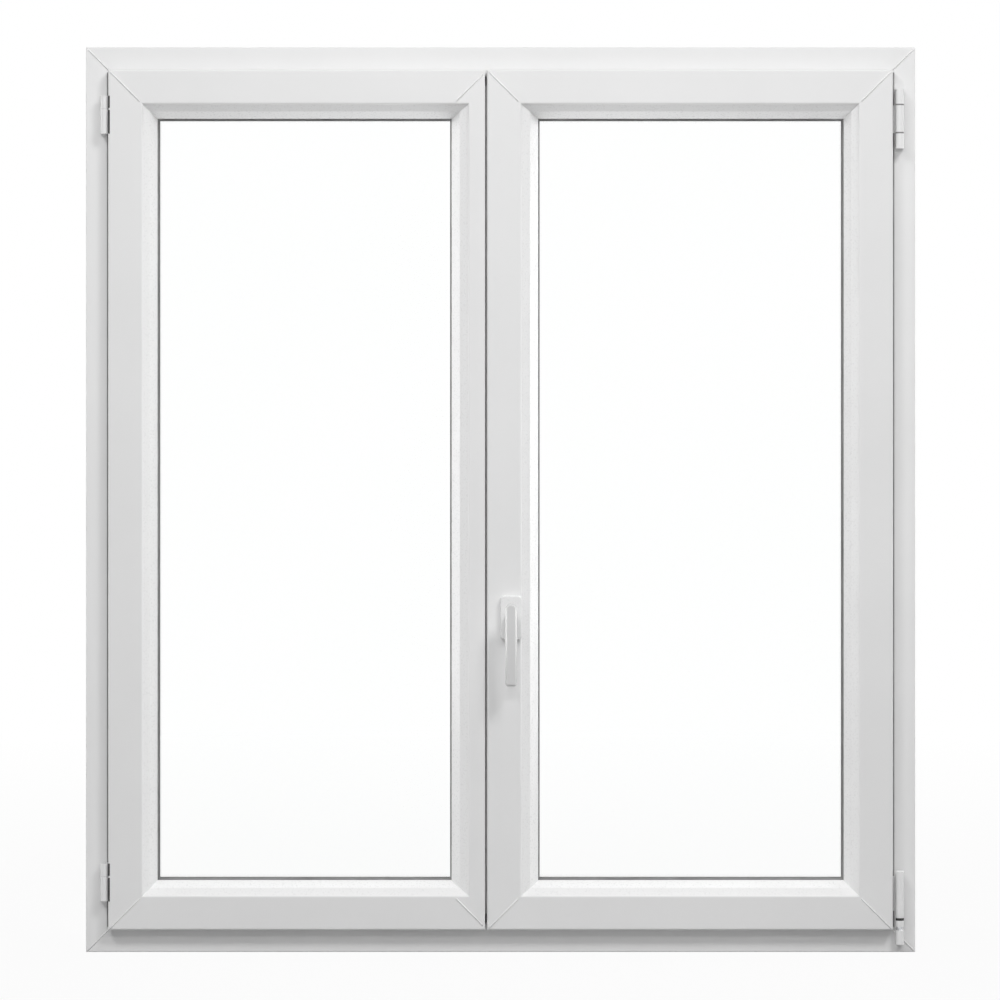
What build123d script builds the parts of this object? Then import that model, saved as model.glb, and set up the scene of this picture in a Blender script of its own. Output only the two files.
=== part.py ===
"""A two-leaf inward-opening plastic window: passive left leaf, tilt-and-turn right leaf.

Millimetres, +Z up, the room on the -Y side, origin at the middle of the frame's bottom face.
"""
import os
from math import acos, cos, pi, radians, sin, tan

from build123d import *

# Frame
FRAME_WIDTH = 1100.0
FRAME_HEIGHT = 1200.0
FRAME_DEPTH = 70.0
FRAME_SIGHT = 31.0  # frame face left in view beside a leaf
LEAF_OVERLAP = 8.0  # leaf flange over the frame face, and frame lip over the leaf
AIR_GAP = 12.0  # between the edge of a leaf and the frame's rebate
SEAL_GAP = 3.0  # room for a gasket between faces
OUTER_WALL = 3.0
INNER_WALL = 2.0

# Leaves
LEAF_PROUD = 18.0  # leaf face in front of the frame face
LEAF_DEPTH = 70.0
LEAF_FACE = 46.0  # flat face, flange edge to bead
BEAD_SIGHT = 17.0
MEETING_BEAD_SIGHT = 22.0
MEETING_X = -19.4  # line between the leaves, from the middle of the frame
MEETING_GAP = 2.6
MEETING_REBATE = 22.3  # passive leaf's profile behind the meeting line
GROOVE_WIDTH = 16.0
GROOVE_DEPTH = 11.0
GROOVE_AXIS = 18.0  # groove's middle behind the flange's back

# Glazing
PANE_THICKNESS = 4.0
CAVITY = 16.0
GLAZING_SEAL = 3.0
OUTER_UPSTAND = 7.0
EDGE_GAP = 5.0  # between a pane's edge and the rebate
SEALANT_WIDTH = 5.0
SPACER_WIDTH = 7.0
GASKET_SHOW = 2.0  # gasket seen beyond a bead
BEAD_DROP = 3.0  # bead's top edge below the leaf face
BEAD_ROLL = 8.0  # fall of the bead's outer slope
BEAD_FRONT = 8.0  # bead's front edge before the pane
BEAD_EASE = 2.0  # rounding between the bead's two slopes
FOOT_DEPTH = 1.6  # bead's foot in its groove
FOOT_WIDTH = 3.0
FOOT_BACK = 13.0  # foot's groove behind the bead's back
FOOT_END = 30.0  # foot's end from a corner
SEAT_COVER = 6.0  # glazing gasket behind a bead
OUTER_SHOW = 1.5
SPACER_WALL = 0.8
BLOCK_LENGTH = 80.0
BLOCK_SHARE = 0.15  # blocks' place along a side

# Hinges
HINGE_SET_BACK = 6.0  # axis behind the leaf's face
RIGHT_HINGE_OUT = 9.4  # axis outside the leaf's edge
LEFT_HINGE_OUT = 5.5
RIGHT_BARREL_R = 5.3
LEFT_BARREL_R = 5.0
HINGE_PIN_R = 2.8
RUN_CLEARANCE = 0.05
STRAP_THICKNESS = 1.8
LEFT_HINGE_FOOT = 69.0  # lower hinge above the frame's bottom
LEFT_HINGE_DROP = 115.5  # upper hinge's foot below the frame's top
STRAP_TAIL = 30.0  # strap below its knuckle
STRAP_REACH = 21.4
ANGLE_THICKNESS = 2.5
FRAME_KNUCKLE = 33.0
LEAF_KNUCKLE = 17.0
KNUCKLE_GAP = 0.4
STAY_DROP = 135.0  # stay bearing's foot below the frame's top
STAY_KNUCKLES = (21.0, 36.8, 21.0)
TILT_Z = 35.0
BALL_R = 4.2
CAP_LOW = 49.0
CAP_HIGH = 109.0
CAP_WALL = 1.05
CAP_TOP = 4.0
BEARING_LENGTH = 17.0
BEARING_FLOOR = 2.5
BALL_GAP = 0.4

# Stay
STAY_LENGTH = 380.0  # hinge axis to guide pin
STAY_BAR_WIDTH = 14.0
STAY_BAR_THICKNESS = 4.0
STAY_PIN_R = 3.5
STAY_SLOT_TRAVEL = 12.5
STAY_SLOT_SIDE = 1.25
STAY_SLOT_END = 2.0
STAY_LIFT = 3.0  # stay bar above the leaf's edge
STAY_PIN_DEPTH = 7.5
STAY_CRANK = 4.0  # crank's distance from the leaf's edge, clear of it while the arm swings

# Locking gear
PLATE_THICKNESS = 2.0
ROD_WIDTH = 10.0
ROD_THICKNESS = 3.4
ROD_GAP = 0.3  # between a rod and the plates
PLATE_GAP = 0.5
SIDE_FIT = 0.2
SLOT_CLEARANCE = 0.4
PINION_TEETH = 10
PINION_PITCH_R = 7.0
PRESSURE_ANGLE = 20.0
RACK_ADDENDUM = 0.8
PINION_ADDENDUM = 1.2
ROOT_CLEARANCE = 0.35
BACKLASH = 0.3
HANDLE_TURN = 180.0
CAM_R = 4.5
CAM_STEM_R = 3.0
CAM_REACH = 7.0
CAM_TIP = 0.5
CAM_FOOT = 2.0
LOWER_CAM_Z = 250.0
UPPER_CAM_DROP = 300.0  # upper cam below the frame's top
BOTTOM_CAM_ALONG = 200.1  # from the lock-side corner
BOTTOM_ROD_LENGTH = 220.0
BOTTOM_PLATE_LENGTH = 280.0
TOP_PLATE_REACH = 100.0  # top faceplate beyond the stay's pin
STAY_ROD_GAP = 14.5  # top rod's end to the stay's pin
CORNER_LEG = 60.0
ROD_END = 10.0  # rod's end from a corner drive
BAND_THICKNESS = 0.7
BAND_BEND = 8.0
BAND_TAIL = 34.0
RACK_MARGIN = 11.0
PINION_WIDTH = 7.0
CASE_WIDTH = 14.8
CASE_WALL = 1.8
CASE_END = 23.0
CASE_BACK = 2.6  # case from the bead's rebate

# Strikers and shoot bolts
STRIKER_BASE = 2.0
STRIKER_WIDTH = 20.0
STRIKER_END = 8.0
STRIKER_ROOM = 1.5  # between a cam and a striker's wall
STRIKER_CLEAR = 4.0  # striker's wall below the leaf's edge
BOLT_WIDTH = 8.0
BOLT_THICKNESS = 3.5
BOLT_SKIN = 0.5  # bolt below the mullion's face
BOLT_LENGTH = 150.0
BOLT_TRAVEL = 20.0
BOLT_ROOM = 4.0  # bolt's tip from the frame, and its room beyond its travel
KNOB_LENGTH = 8.0
KNOB_WIDTH = 4.0
KNOB_OUT = 5.0
KNOB_CLEARANCE = 0.5
GUIDE_LENGTH = 100.0
GUIDE_WIDTH = 16.0
GUIDE_THICKNESS = 1.5
KEEP_ROOM = 2.0
KEEP_WALL = 2.5
KEEP_DEPTH = 7.0

# Handle
HANDLE_Z = 444.5
BACKSET = 12.0  # spindle from the leaf's edge
SPINDLE = 7.0
LEVER_WIDTH = 16.0
LEVER_TOP = 19.5  # lever above its spindle
LEVER_DROP = 89.0
LEVER_THICKNESS = 12.0
LEVER_TIP = 6.5  # thickness at the lower end
LEVER_TAPER = 0.94  # lower end's share of the width
LEVER_BEVEL = 2.5
LEVER_CORNER = 3.5
NECK_R = 7.6
NECK_LENGTH = 24.0
ROSETTE_WIDTH = 28.5
ROSETTE_HEIGHT = 58.0
ROSETTE_DEPTH = 9.0
ROSETTE_FACE = 3.5
ROSETTE_WALL = 2.2
SCREW_SPACING = 43.0
SCREW_R = 2.5
SCREW_HEAD = 1.6  # head beyond the shank
HEAD_DEPTH = 2.5

# Fixing and drainage
FIXING_R = 5.1
FIXING_INSET = 200.0  # fixings from the frame's ends
DRAIN_INSET = 250.0  # drains from the frame's sides
DRAIN_LENGTH = 36.0
DRAIN_SLOT = 4.0
CAP_HEIGHT = 14.0
CAP_DEPTH = 4.0

# Gaskets, chambers and steel
KEY_WIDTH = 2.2  # gasket's groove
KEY_DEPTH = 2.4
KEY_FIT = 0.1
FRAME_KEY = 5.4  # groove from the lip's edge
LEAF_KEY = 4.9  # groove from the flange's edge
FRONT_CHAMBER = 10.0
STEEL_SETBACK = 8.0
STEEL_FIT = 0.3
STEEL_WALL = 1.5
COVER_DEPTH = 10.0
COVER_WALL = 2.5
END_GAP = 1.0

# Levels worked out from the sizes above
HALF_WIDTH = FRAME_WIDTH / 2
Y_FRAME_IN = -FRAME_DEPTH / 2
Y_FRAME_OUT = FRAME_DEPTH / 2
Y_LEAF_IN = Y_FRAME_IN - LEAF_PROUD
Y_LEAF_OUT = Y_LEAF_IN + LEAF_DEPTH
Y_FLANGE = Y_FRAME_IN - SEAL_GAP
Y_LIP = Y_LEAF_OUT + SEAL_GAP
Y_GROOVE = Y_FLANGE + GROOVE_AXIS
Y_PANE_OUT = Y_LEAF_OUT - OUTER_UPSTAND - GLAZING_SEAL
Y_PANE_IN = Y_PANE_OUT - 2 * PANE_THICKNESS - CAVITY
Y_BEAD_BACK = Y_PANE_IN - GLAZING_SEAL
FRAME_WEB = FRAME_SIGHT + LEAF_OVERLAP
FLANGE = LEAF_OVERLAP + AIR_GAP
HINGE_Y = Y_LEAF_IN + HINGE_SET_BACK
RIGHT_HINGE_X = HALF_WIDTH - FRAME_SIGHT + RIGHT_HINGE_OUT
LEFT_HINGE_X = -HALF_WIDTH + FRAME_SIGHT - LEFT_HINGE_OUT
LEFT_HINGE_FEET = (LEFT_HINGE_FOOT, FRAME_HEIGHT - LEFT_HINGE_DROP)
STAY_LOW = FRAME_HEIGHT - STAY_DROP
CAM_HEIGHTS = (LOWER_CAM_Z, FRAME_HEIGHT - UPPER_CAM_DROP)
FIXING_HEIGHTS = (FIXING_INSET, FRAME_HEIGHT - FIXING_INSET)
DRAIN_X = HALF_WIDTH - DRAIN_INSET
FRAME_LIP = FRAME_WEB + AIR_GAP + LEAF_OVERLAP
ROD_IN = FLANGE + PLATE_THICKNESS + ROD_GAP
ROD_OUT = ROD_IN + ROD_THICKNESS
ROD_TRAVEL = PINION_PITCH_R * radians(HANDLE_TURN)
FRAME_RECT = (-HALF_WIDTH, HALF_WIDTH, 0.0, FRAME_HEIGHT)
LEAF_Z = (FRAME_SIGHT, FRAME_HEIGHT - FRAME_SIGHT)
LEFT_RECT = (-HALF_WIDTH + FRAME_SIGHT, MEETING_X + MEETING_REBATE, *LEAF_Z)
RIGHT_RECT = (MEETING_X + MEETING_GAP / 2, HALF_WIDTH - FRAME_SIGHT, *LEAF_Z)
LEFT_CUT_X = MEETING_X - MEETING_GAP / 2
LEFT_EDGE_X = LEFT_RECT[1] - FLANGE
RIGHT_EDGE_X = RIGHT_RECT[0] + FLANGE
MULLION_X = RIGHT_EDGE_X - AIR_GAP
EDGE_LOW = FRAME_WEB + AIR_GAP
EDGE_HIGH = FRAME_HEIGHT - EDGE_LOW
HANDLE_X = RIGHT_EDGE_X + BACKSET
TOP_ROD_LOW = CORNER_LEG + ROD_END + ROD_TRAVEL
STAY_PIN_ALONG = RIGHT_HINGE_X - STAY_LENGTH - RIGHT_RECT[0]
TOP_ROD_HIGH = STAY_PIN_ALONG - STAY_ROD_GAP
TOP_CAM_X = RIGHT_RECT[0] + (TOP_ROD_LOW + TOP_ROD_HIGH) / 2
BOTTOM_CAM_X = RIGHT_RECT[0] + BOTTOM_CAM_ALONG
ORDER = ("left", "top", "right", "bottom")
LEFT_BEADS = {"left": BEAD_SIGHT, "top": BEAD_SIGHT, "right": MEETING_BEAD_SIGHT, "bottom": BEAD_SIGHT}
RIGHT_BEADS = {"left": MEETING_BEAD_SIGHT, "top": BEAD_SIGHT, "right": BEAD_SIGHT, "bottom": BEAD_SIGHT}


def block(x0, x1, y0, y1, z0, z1):
    """A box between two corners."""
    return Pos((x0 + x1) / 2, (y0 + y1) / 2, (z0 + z1) / 2) * Box(x1 - x0, y1 - y0, z1 - z0)


def rod_z(x, y, r, z0, z1):
    """An upright cylinder."""
    return Pos(x, y, (z0 + z1) / 2) * Cylinder(r, z1 - z0)


def rod_y(x, z, r, y0, y1):
    """A cylinder along the depth."""
    return Pos(x, (y0 + y1) / 2, z) * Rotation(90, 0, 0) * Cylinder(r, y1 - y0)


def rod_x(y, z, r, x0, x1):
    """A cylinder across the window."""
    return Pos((x0 + x1) / 2, y, z) * Rotation(0, 90, 0) * Cylinder(r, x1 - x0)


def outline(*corners):
    """A closed outline; a corner's third number is the radius that rounds it."""
    face = make_face(Polyline(*[(corner[0], corner[1]) for corner in corners], close=True))
    for corner in corners:
        if len(corner) == 3:
            face = fillet(face.vertices().sort_by_distance((corner[0], corner[1]))[0], corner[2])
    return face


def window(k0, k1, y0, y1):
    """A chamber in a profile."""
    return Pos((k0 + k1) / 2, (y0 + y1) / 2) * Rectangle(k1 - k0, y1 - y0)


def plate(face, y0, y1):
    """An outline in X and Z, as thick as from y0 to y1."""
    return Pos(0, y1, 0) * Rotation(90, 0, 0) * extrude(face, y1 - y0)


def length_of(side, rect):
    """The outer length of one side of a rectangle."""
    x0, x1, z0, z1 = rect
    return z1 - z0 if side in ("left", "right") else x1 - x0


def place(shape, side, rect):
    """Turns a member drawn as a left upright (X inwards, Z along) onto a side of a rectangle."""
    x0, x1, z0, z1 = rect
    turn, corner = {
        "left": (0, (x0, 0, z0)),
        "top": (90, (x0, 0, z1)),
        "right": (180, (x1, 0, z1)),
        "bottom": (-90, (x1, 0, z0)),
    }[side]
    return Pos(*corner) * Rotation(0, turn, 0) * shape


def inset(rect, distance):
    """A rectangle drawn in by the same distance on each side."""
    x0, x1, z0, z1 = rect
    return (x0 + distance, x1 - distance, z0 + distance, z1 - distance)


def neighbours(side):
    """The sides that meet the start and the end of a side."""
    i = ORDER.index(side)
    return ORDER[i - 1], ORDER[(i + 1) % 4]


def mitred(section, side, rect, start, end):
    """A length of profile, cut along two mitre lines of (inwards, along) points."""
    length = length_of(side, rect)
    far = [(k, length - along) for k, along in reversed(end)]
    keep = plate(make_face(Polyline(*start, *far, close=True)), -FRAME_DEPTH, FRAME_DEPTH)
    return place(extrude(section, length) & keep, side, rect)


def square_ring(section, rect, reach, sides=ORDER):
    """Lengths of one profile around a rectangle, mitred at 45 degrees."""
    line = [(0, 0), (reach, reach)]
    return [mitred(section, side, rect, line, line) for side in sides]


def bead_line(own, other, face):
    """A mitre line: 45 degrees across the face, then stretched to where two beads meet."""
    return [(0, 0), (face, face), (face + own, face + other), (face + own + 10, face + other + 10)]


def group(solids):
    """Separate solids kept together under one name."""
    return Compound(children=[part.solid() if isinstance(part, Part) else part for part in solids])


# Frame

def frame_section():
    key = FRAME_LIP - FRAME_KEY
    face = outline(
        (0, Y_FRAME_IN, 1.5), (FRAME_WEB, Y_FRAME_IN, 0.8), (FRAME_WEB, Y_LIP), (key - KEY_WIDTH, Y_LIP),
        (key - KEY_WIDTH, Y_LIP + KEY_DEPTH), (key, Y_LIP + KEY_DEPTH), (key, Y_LIP),
        (FRAME_LIP, Y_LIP), (FRAME_LIP, Y_FRAME_OUT - 4), (FRAME_LIP - 2, Y_FRAME_OUT, 1),
        (0, Y_FRAME_OUT, 1.5))
    top = FRAME_WEB - OUTER_WALL
    face -= window(OUTER_WALL, top, Y_FRAME_IN + OUTER_WALL, steel_in() - INNER_WALL)
    face -= frame_steel_chamber(0)
    face -= window(OUTER_WALL, top, steel_out() + INNER_WALL, Y_FRAME_OUT - OUTER_WALL)
    face -= window(top + INNER_WALL, FRAME_LIP - 5, Y_LIP + 5, Y_FRAME_OUT - OUTER_WALL)
    return face


def steel_in():
    return Y_FRAME_IN + OUTER_WALL + FRONT_CHAMBER + INNER_WALL


def steel_out():
    return Y_LIP - STEEL_SETBACK


def frame_steel_chamber(gap):
    return window(OUTER_WALL + gap, FRAME_WEB - OUTER_WALL - gap, steel_in() + gap, steel_out() - gap)


def fixing_holes():
    y = (steel_in() + steel_out()) / 2
    return [rod_x(y, z, FIXING_R, -HALF_WIDTH - 1, HALF_WIDTH + 1) for z in FIXING_HEIGHTS]


def jamb_parts(solids):
    """Drills the wall fixings, keeping the middle of the window untouched."""
    for hole in fixing_holes():
        solids = [solid - hole for solid in solids]
    return solids


def drain_slot(x):
    z = FRAME_WEB / 2
    return block(
        x - DRAIN_LENGTH / 3, x + DRAIN_LENGTH / 3, Y_FRAME_OUT - 5, Y_FRAME_OUT + 1,
        z - DRAIN_SLOT / 2, z + DRAIN_SLOT / 2)


def frame_members():
    line = [(0, 0), (FRAME_LIP, FRAME_LIP)]
    section = frame_section()
    parts = {side: mitred(section, side, FRAME_RECT, line, line) for side in ORDER}
    parts["left"], parts["right"] = jamb_parts([parts["left"], parts["right"]])
    for x in (-DRAIN_X, DRAIN_X):
        parts["bottom"] -= drain_slot(x)
    return parts


def frame_reinforcement():
    tube = frame_steel_chamber(STEEL_FIT) - frame_steel_chamber(STEEL_FIT + STEEL_WALL)
    bars = []
    for side in ORDER:
        bar = extrude(tube, length_of(side, FRAME_RECT) - 4 * FRAME_LIP)
        bars.append(place(Pos(0, 0, 2 * FRAME_LIP) * bar, side, FRAME_RECT))
    return jamb_parts(bars)


def frame_gasket():
    key = FRAME_LIP - FRAME_KEY - KEY_FIT
    wide = KEY_WIDTH - 2 * KEY_FIT
    foot = Y_LIP + KEY_DEPTH - 2 * KEY_FIT
    lip = outline(
        (FRAME_LIP - 8, Y_LIP), (FRAME_LIP - 8, Y_LIP - SEAL_GAP, 1), (FRAME_LIP - 3, Y_LIP - SEAL_GAP, 1),
        (FRAME_LIP - 3, Y_LIP), (key, Y_LIP), (key, foot), (key - wide, foot), (key - wide, Y_LIP))
    return square_ring(lip, FRAME_RECT, FRAME_LIP)


def drain_caps():
    z = FRAME_WEB / 2
    caps = []
    for x in (-DRAIN_X, DRAIN_X):
        half = DRAIN_LENGTH / 2
        tall = CAP_HEIGHT / 2
        cap = block(x - half, x + half, Y_FRAME_OUT, Y_FRAME_OUT + CAP_DEPTH, z - tall, z + tall)
        cap = fillet(cap.edges().group_by(Axis.Y)[-1], 2)
        room = block(x - half + 3, x + half - 3, Y_FRAME_OUT, Y_FRAME_OUT + 2.5, z - tall - 1, z + tall - 2.5)
        caps.append(cap - room)
    return caps


def striker():
    """A striker plate on a rebate floor at k = 0, along Z, open towards the room."""
    half = STRIKER_WIDTH / 2
    end = ROD_TRAVEL + STRIKER_END
    base = block(0, STRIKER_BASE, Y_GROOVE - half, Y_GROOVE + half, -end, end)
    wall = block(
        STRIKER_BASE, AIR_GAP - STRIKER_CLEAR, Y_GROOVE + CAM_R + STRIKER_ROOM, Y_GROOVE + half, -end, end)
    return base + wall


def bolt_keep(z_floor, up):
    """A keep for a shoot bolt, open towards the room."""
    x0, x1 = bolt_x()
    y0, y1 = Y_GROOVE - BOLT_WIDTH / 2, Y_GROOVE + BOLT_WIDTH / 2
    side = KEEP_ROOM + KEEP_WALL
    top = z_floor - up * STRIKER_BASE
    z0, z1 = sorted((z_floor, top))
    low, high = sorted((top, top - up * KEEP_DEPTH))
    back = y1 + KEEP_ROOM + 1.6 * KEEP_WALL
    keep = block(x0 - side, x1 + side, y0 - 4, back, z0, z1)
    keep += block(x0 - side, x0 - KEEP_ROOM, y0 - 2, back, low, high)
    keep += block(x1 + KEEP_ROOM, x1 + side, y0 - 2, back, low, high)
    return keep + block(x0 - side, x1 + side, back - 3, back, low, high)


def frame_strikers():
    top = place(Pos(FRAME_WEB, 0, TOP_CAM_X + HALF_WIDTH) * striker(), "top", FRAME_RECT)
    bottom = place(Pos(FRAME_WEB, 0, HALF_WIDTH - BOTTOM_CAM_X) * striker(), "bottom", FRAME_RECT)
    return [top, bottom, bolt_keep(FRAME_HEIGHT - FRAME_WEB, 1), bolt_keep(FRAME_WEB, -1)]


# Leaves

def leaf_chambers():
    y_in = Y_LEAF_IN + OUTER_WALL
    y_web = Y_FLANGE - 5
    milled = MEETING_REBATE + MEETING_GAP / 2
    floor = FLANGE + GROOVE_DEPTH
    chambers = window(OUTER_WALL, milled - 0.6, y_in, y_web)
    chambers += window(milled + OUTER_WALL, LEAF_FACE - OUTER_WALL, y_in, y_web)
    chambers += leaf_steel_chamber(0)
    chambers += window(FLANGE + OUTER_WALL, floor, Y_GROOVE + GROOVE_WIDTH / 2 + 2.5, leaf_steel_out())
    y_back = leaf_steel_out() + INNER_WALL
    chambers += window(FLANGE + OUTER_WALL, LEAF_FACE - OUTER_WALL, y_back, Y_LEAF_OUT - OUTER_WALL)
    return chambers


def leaf_steel_out():
    return Y_LEAF_OUT - 13


def leaf_steel_chamber(gap):
    k0 = FLANGE + GROOVE_DEPTH + INNER_WALL
    return window(k0 + gap, LEAF_FACE - 3.4 - gap, Y_FLANGE - 0.5 + gap, leaf_steel_out() - gap)


def leaf_section(sight):
    foot = Y_BEAD_BACK - FOOT_BACK
    groove_in = Y_GROOVE - GROOVE_WIDTH / 2
    groove_out = Y_GROOVE + GROOVE_WIDTH / 2
    face = outline(
        (0, Y_LEAF_IN, 2.5), (LEAF_FACE, Y_LEAF_IN, BEAD_DROP), (LEAF_FACE, foot - FOOT_WIDTH),
        (LEAF_FACE - FOOT_DEPTH, foot - FOOT_WIDTH), (LEAF_FACE - FOOT_DEPTH, foot), (LEAF_FACE, foot),
        (LEAF_FACE, Y_LEAF_OUT - OUTER_UPSTAND), (LEAF_FACE + sight, Y_LEAF_OUT - OUTER_UPSTAND),
        (LEAF_FACE + sight - 2, Y_LEAF_OUT, 1.5), (FLANGE, Y_LEAF_OUT, 1.5), (FLANGE, groove_out),
        (FLANGE + GROOVE_DEPTH, groove_out), (FLANGE + GROOVE_DEPTH, groove_in), (FLANGE, groove_in),
        (FLANGE, Y_FLANGE), (LEAF_KEY + KEY_WIDTH, Y_FLANGE), (LEAF_KEY + KEY_WIDTH, Y_FLANGE - KEY_DEPTH),
        (LEAF_KEY, Y_FLANGE - KEY_DEPTH), (LEAF_KEY, Y_FLANGE), (0, Y_FLANGE, 1))
    return face - leaf_chambers()


def leaf_members(rect, beads):
    parts = {}
    for side in ORDER:
        before, after = neighbours(side)
        start = bead_line(beads[side], beads[before], LEAF_FACE)
        end = bead_line(beads[side], beads[after], LEAF_FACE)
        parts[side] = mitred(leaf_section(beads[side]), side, rect, start, end)
    return parts


def bead_section(sight):
    """The bead's outline, stretched with its width so that unequal beads still meet."""
    top = Y_LEAF_IN + BEAD_DROP
    front = Y_PANE_IN - BEAD_FRONT
    return outline(
        (0, top), (sight / 2, top + BEAD_ROLL, BEAD_EASE), (sight, front, 1), (sight, Y_BEAD_BACK),
        (0, Y_BEAD_BACK))


def beads(rect, widths):
    seat = inset(rect, LEAF_FACE)
    parts = []
    for side in ORDER:
        before, after = neighbours(side)
        start = bead_line(widths[side], widths[before], 0)[1:]
        end = bead_line(widths[side], widths[after], 0)[1:]
        bead = mitred(bead_section(widths[side]), side, seat, start, end)
        length = length_of(side, seat)
        y1 = Y_BEAD_BACK - FOOT_BACK - SIDE_FIT
        y0 = y1 - FOOT_WIDTH + 2 * SIDE_FIT
        foot = block(SIDE_FIT - FOOT_DEPTH, 0.5, y0, y1, FOOT_END, length - FOOT_END)
        parts.append(bead + place(foot, side, seat))
    return parts


def glazing_gaskets(rect, widths):
    seat = inset(rect, LEAF_FACE)
    strips = []
    inner = (Y_BEAD_BACK, Y_PANE_IN, GASKET_SHOW)
    outer = (Y_PANE_OUT, Y_PANE_OUT + GLAZING_SEAL, OUTER_SHOW)
    for y0, y1, show in (inner, outer):
        for side in ORDER:
            before, after = neighbours(side)
            start = bead_line(widths[side], widths[before], 0)[1:]
            end = bead_line(widths[side], widths[after], 0)[1:]
            section = window(widths[side] - SEAT_COVER, widths[side] + show, y0, y1)
            strips.append(mitred(section, side, seat, start, end))
    return strips


def pane_rect(rect):
    return inset(rect, LEAF_FACE + EDGE_GAP)


def panes(rect):
    x0, x1, z0, z1 = pane_rect(rect)
    inner = block(x0, x1, Y_PANE_IN, Y_PANE_IN + PANE_THICKNESS, z0, z1)
    outer = block(x0, x1, Y_PANE_OUT - PANE_THICKNESS, Y_PANE_OUT, z0, z1)
    return [inner, outer]


def edge_sealant(rect):
    y0 = Y_PANE_IN + PANE_THICKNESS
    return square_ring(window(0, SEALANT_WIDTH, y0, y0 + CAVITY), pane_rect(rect), SEALANT_WIDTH)


def spacer(rect):
    y0 = Y_PANE_IN + PANE_THICKNESS
    bar = window(SEALANT_WIDTH, SEALANT_WIDTH + SPACER_WIDTH, y0, y0 + CAVITY)
    wall = SPACER_WALL
    inner = SEALANT_WIDTH + SPACER_WIDTH
    bar -= window(SEALANT_WIDTH + wall, inner - wall, y0 + wall, y0 + CAVITY - wall)
    return square_ring(bar, pane_rect(rect), inner)


def setting_blocks(rect):
    seat = inset(rect, LEAF_FACE)
    blocks = []
    half = BLOCK_LENGTH / 2
    for side in ORDER:
        length = length_of(side, seat)
        for along in (BLOCK_SHARE * length, (1 - BLOCK_SHARE) * length):
            pad = block(0, EDGE_GAP, Y_PANE_IN, Y_PANE_OUT, along - half, along + half)
            blocks.append(place(pad, side, seat))
    return blocks


def leaf_reinforcement(rect):
    tube = leaf_steel_chamber(STEEL_FIT) - leaf_steel_chamber(STEEL_FIT + STEEL_WALL)
    bars = []
    for side in ORDER:
        bar = extrude(tube, length_of(side, rect) - 4 * LEAF_FACE)
        bars.append(place(Pos(0, 0, 2 * LEAF_FACE) * bar, side, rect))
    return bars


def leaf_gasket(rect, sides):
    k0 = LEAF_KEY + KEY_FIT
    k1 = LEAF_KEY + KEY_WIDTH - KEY_FIT
    foot = Y_FLANGE - KEY_DEPTH + 2 * KEY_FIT
    strip = outline(
        (k0 - 1, Y_FLANGE), (k0 - 1, Y_FRAME_IN, 1), (k1 + 1, Y_FRAME_IN, 1), (k1 + 1, Y_FLANGE),
        (k1, Y_FLANGE), (k1, foot), (k0, foot), (k0, Y_FLANGE))
    return square_ring(strip, rect, FLANGE, sides)


# Left leaf

def meeting_cut():
    return block(LEFT_CUT_X, LEFT_RECT[1] + 1, Y_LEAF_IN - 1, Y_FRAME_IN, 0, FRAME_HEIGHT)


def left_members():
    parts = leaf_members(LEFT_RECT, LEFT_BEADS)
    x0 = LEFT_CUT_X - OUTER_WALL
    y0, y1 = Y_LEAF_IN + OUTER_WALL / 2, Y_FLANGE - 4
    milled = MEETING_REBATE + MEETING_GAP / 2
    low = block(x0, LEFT_CUT_X, y0, y1, LEAF_Z[0] + 1.5, LEAF_Z[0] + milled)
    high = block(x0, LEFT_CUT_X, y0, y1, LEAF_Z[1] - milled, LEAF_Z[1] - 1.5)
    parts["bottom"] = parts["bottom"] - meeting_cut() + low
    parts["top"] = parts["top"] - meeting_cut() + high
    parts["right"] -= meeting_cut()
    return parts


def left_leaf_gasket():
    strips = leaf_gasket(LEFT_RECT, ("left", "top", "bottom"))
    notches = []
    x0, x1 = LEFT_RECT[0], LEFT_RECT[0] + FLANGE
    for low in LEFT_HINGE_FEET:
        z0 = low + FRAME_KNUCKLE
        notches.append(block(x0, x1, Y_LEAF_IN, Y_FRAME_IN, z0 - 1, z0 + LEAF_KNUCKLE + 3))
    keep = block(-HALF_WIDTH, LEFT_CUT_X, Y_LEAF_IN, Y_FRAME_OUT, 0, FRAME_HEIGHT)
    strips = [strip & keep for strip in strips]
    solids = (strips[0] - notches[0] - notches[1]).solids() + strips[1].solids() + strips[2].solids()
    return solids + mullion_gasket().solids()


def mullion_parts():
    """The web covers the passive leaf's edge; the outer cover reaches over both leaves."""
    y_top = Y_LIP + COVER_DEPTH
    x_left = LEFT_EDGE_X - COVER_DEPTH
    x_right = RIGHT_EDGE_X + LEAF_OVERLAP
    wall = COVER_WALL
    web = block(LEFT_EDGE_X, MULLION_X, Y_FRAME_IN, Y_LEAF_OUT, EDGE_LOW, EDGE_HIGH)
    cover = outline(
        (x_left, Y_LEAF_OUT), (MULLION_X, Y_LEAF_OUT), (MULLION_X, Y_LIP), (x_right, Y_LIP),
        (x_right, y_top, 2), (x_left, y_top, 2))
    cover -= window(x_left + wall, x_right - wall, Y_LIP + wall, y_top - wall)
    length = FRAME_HEIGHT - 2 * FRAME_LIP - 2 * END_GAP
    body = web + Pos(0, 0, FRAME_LIP + END_GAP) * extrude(cover, length)
    x0, _ = bolt_x()
    half = BOLT_WIDTH / 2 + SLOT_CLEARANCE
    more = BOLT_TRAVEL + BOLT_ROOM
    for z0, z1 in (bolt_span(1), bolt_span(-1)):
        body -= block(
            x0 - SLOT_CLEARANCE, MULLION_X + 1, Y_GROOVE - half, Y_GROOVE + half, z0 - more, z1 + more)
    return body


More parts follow.
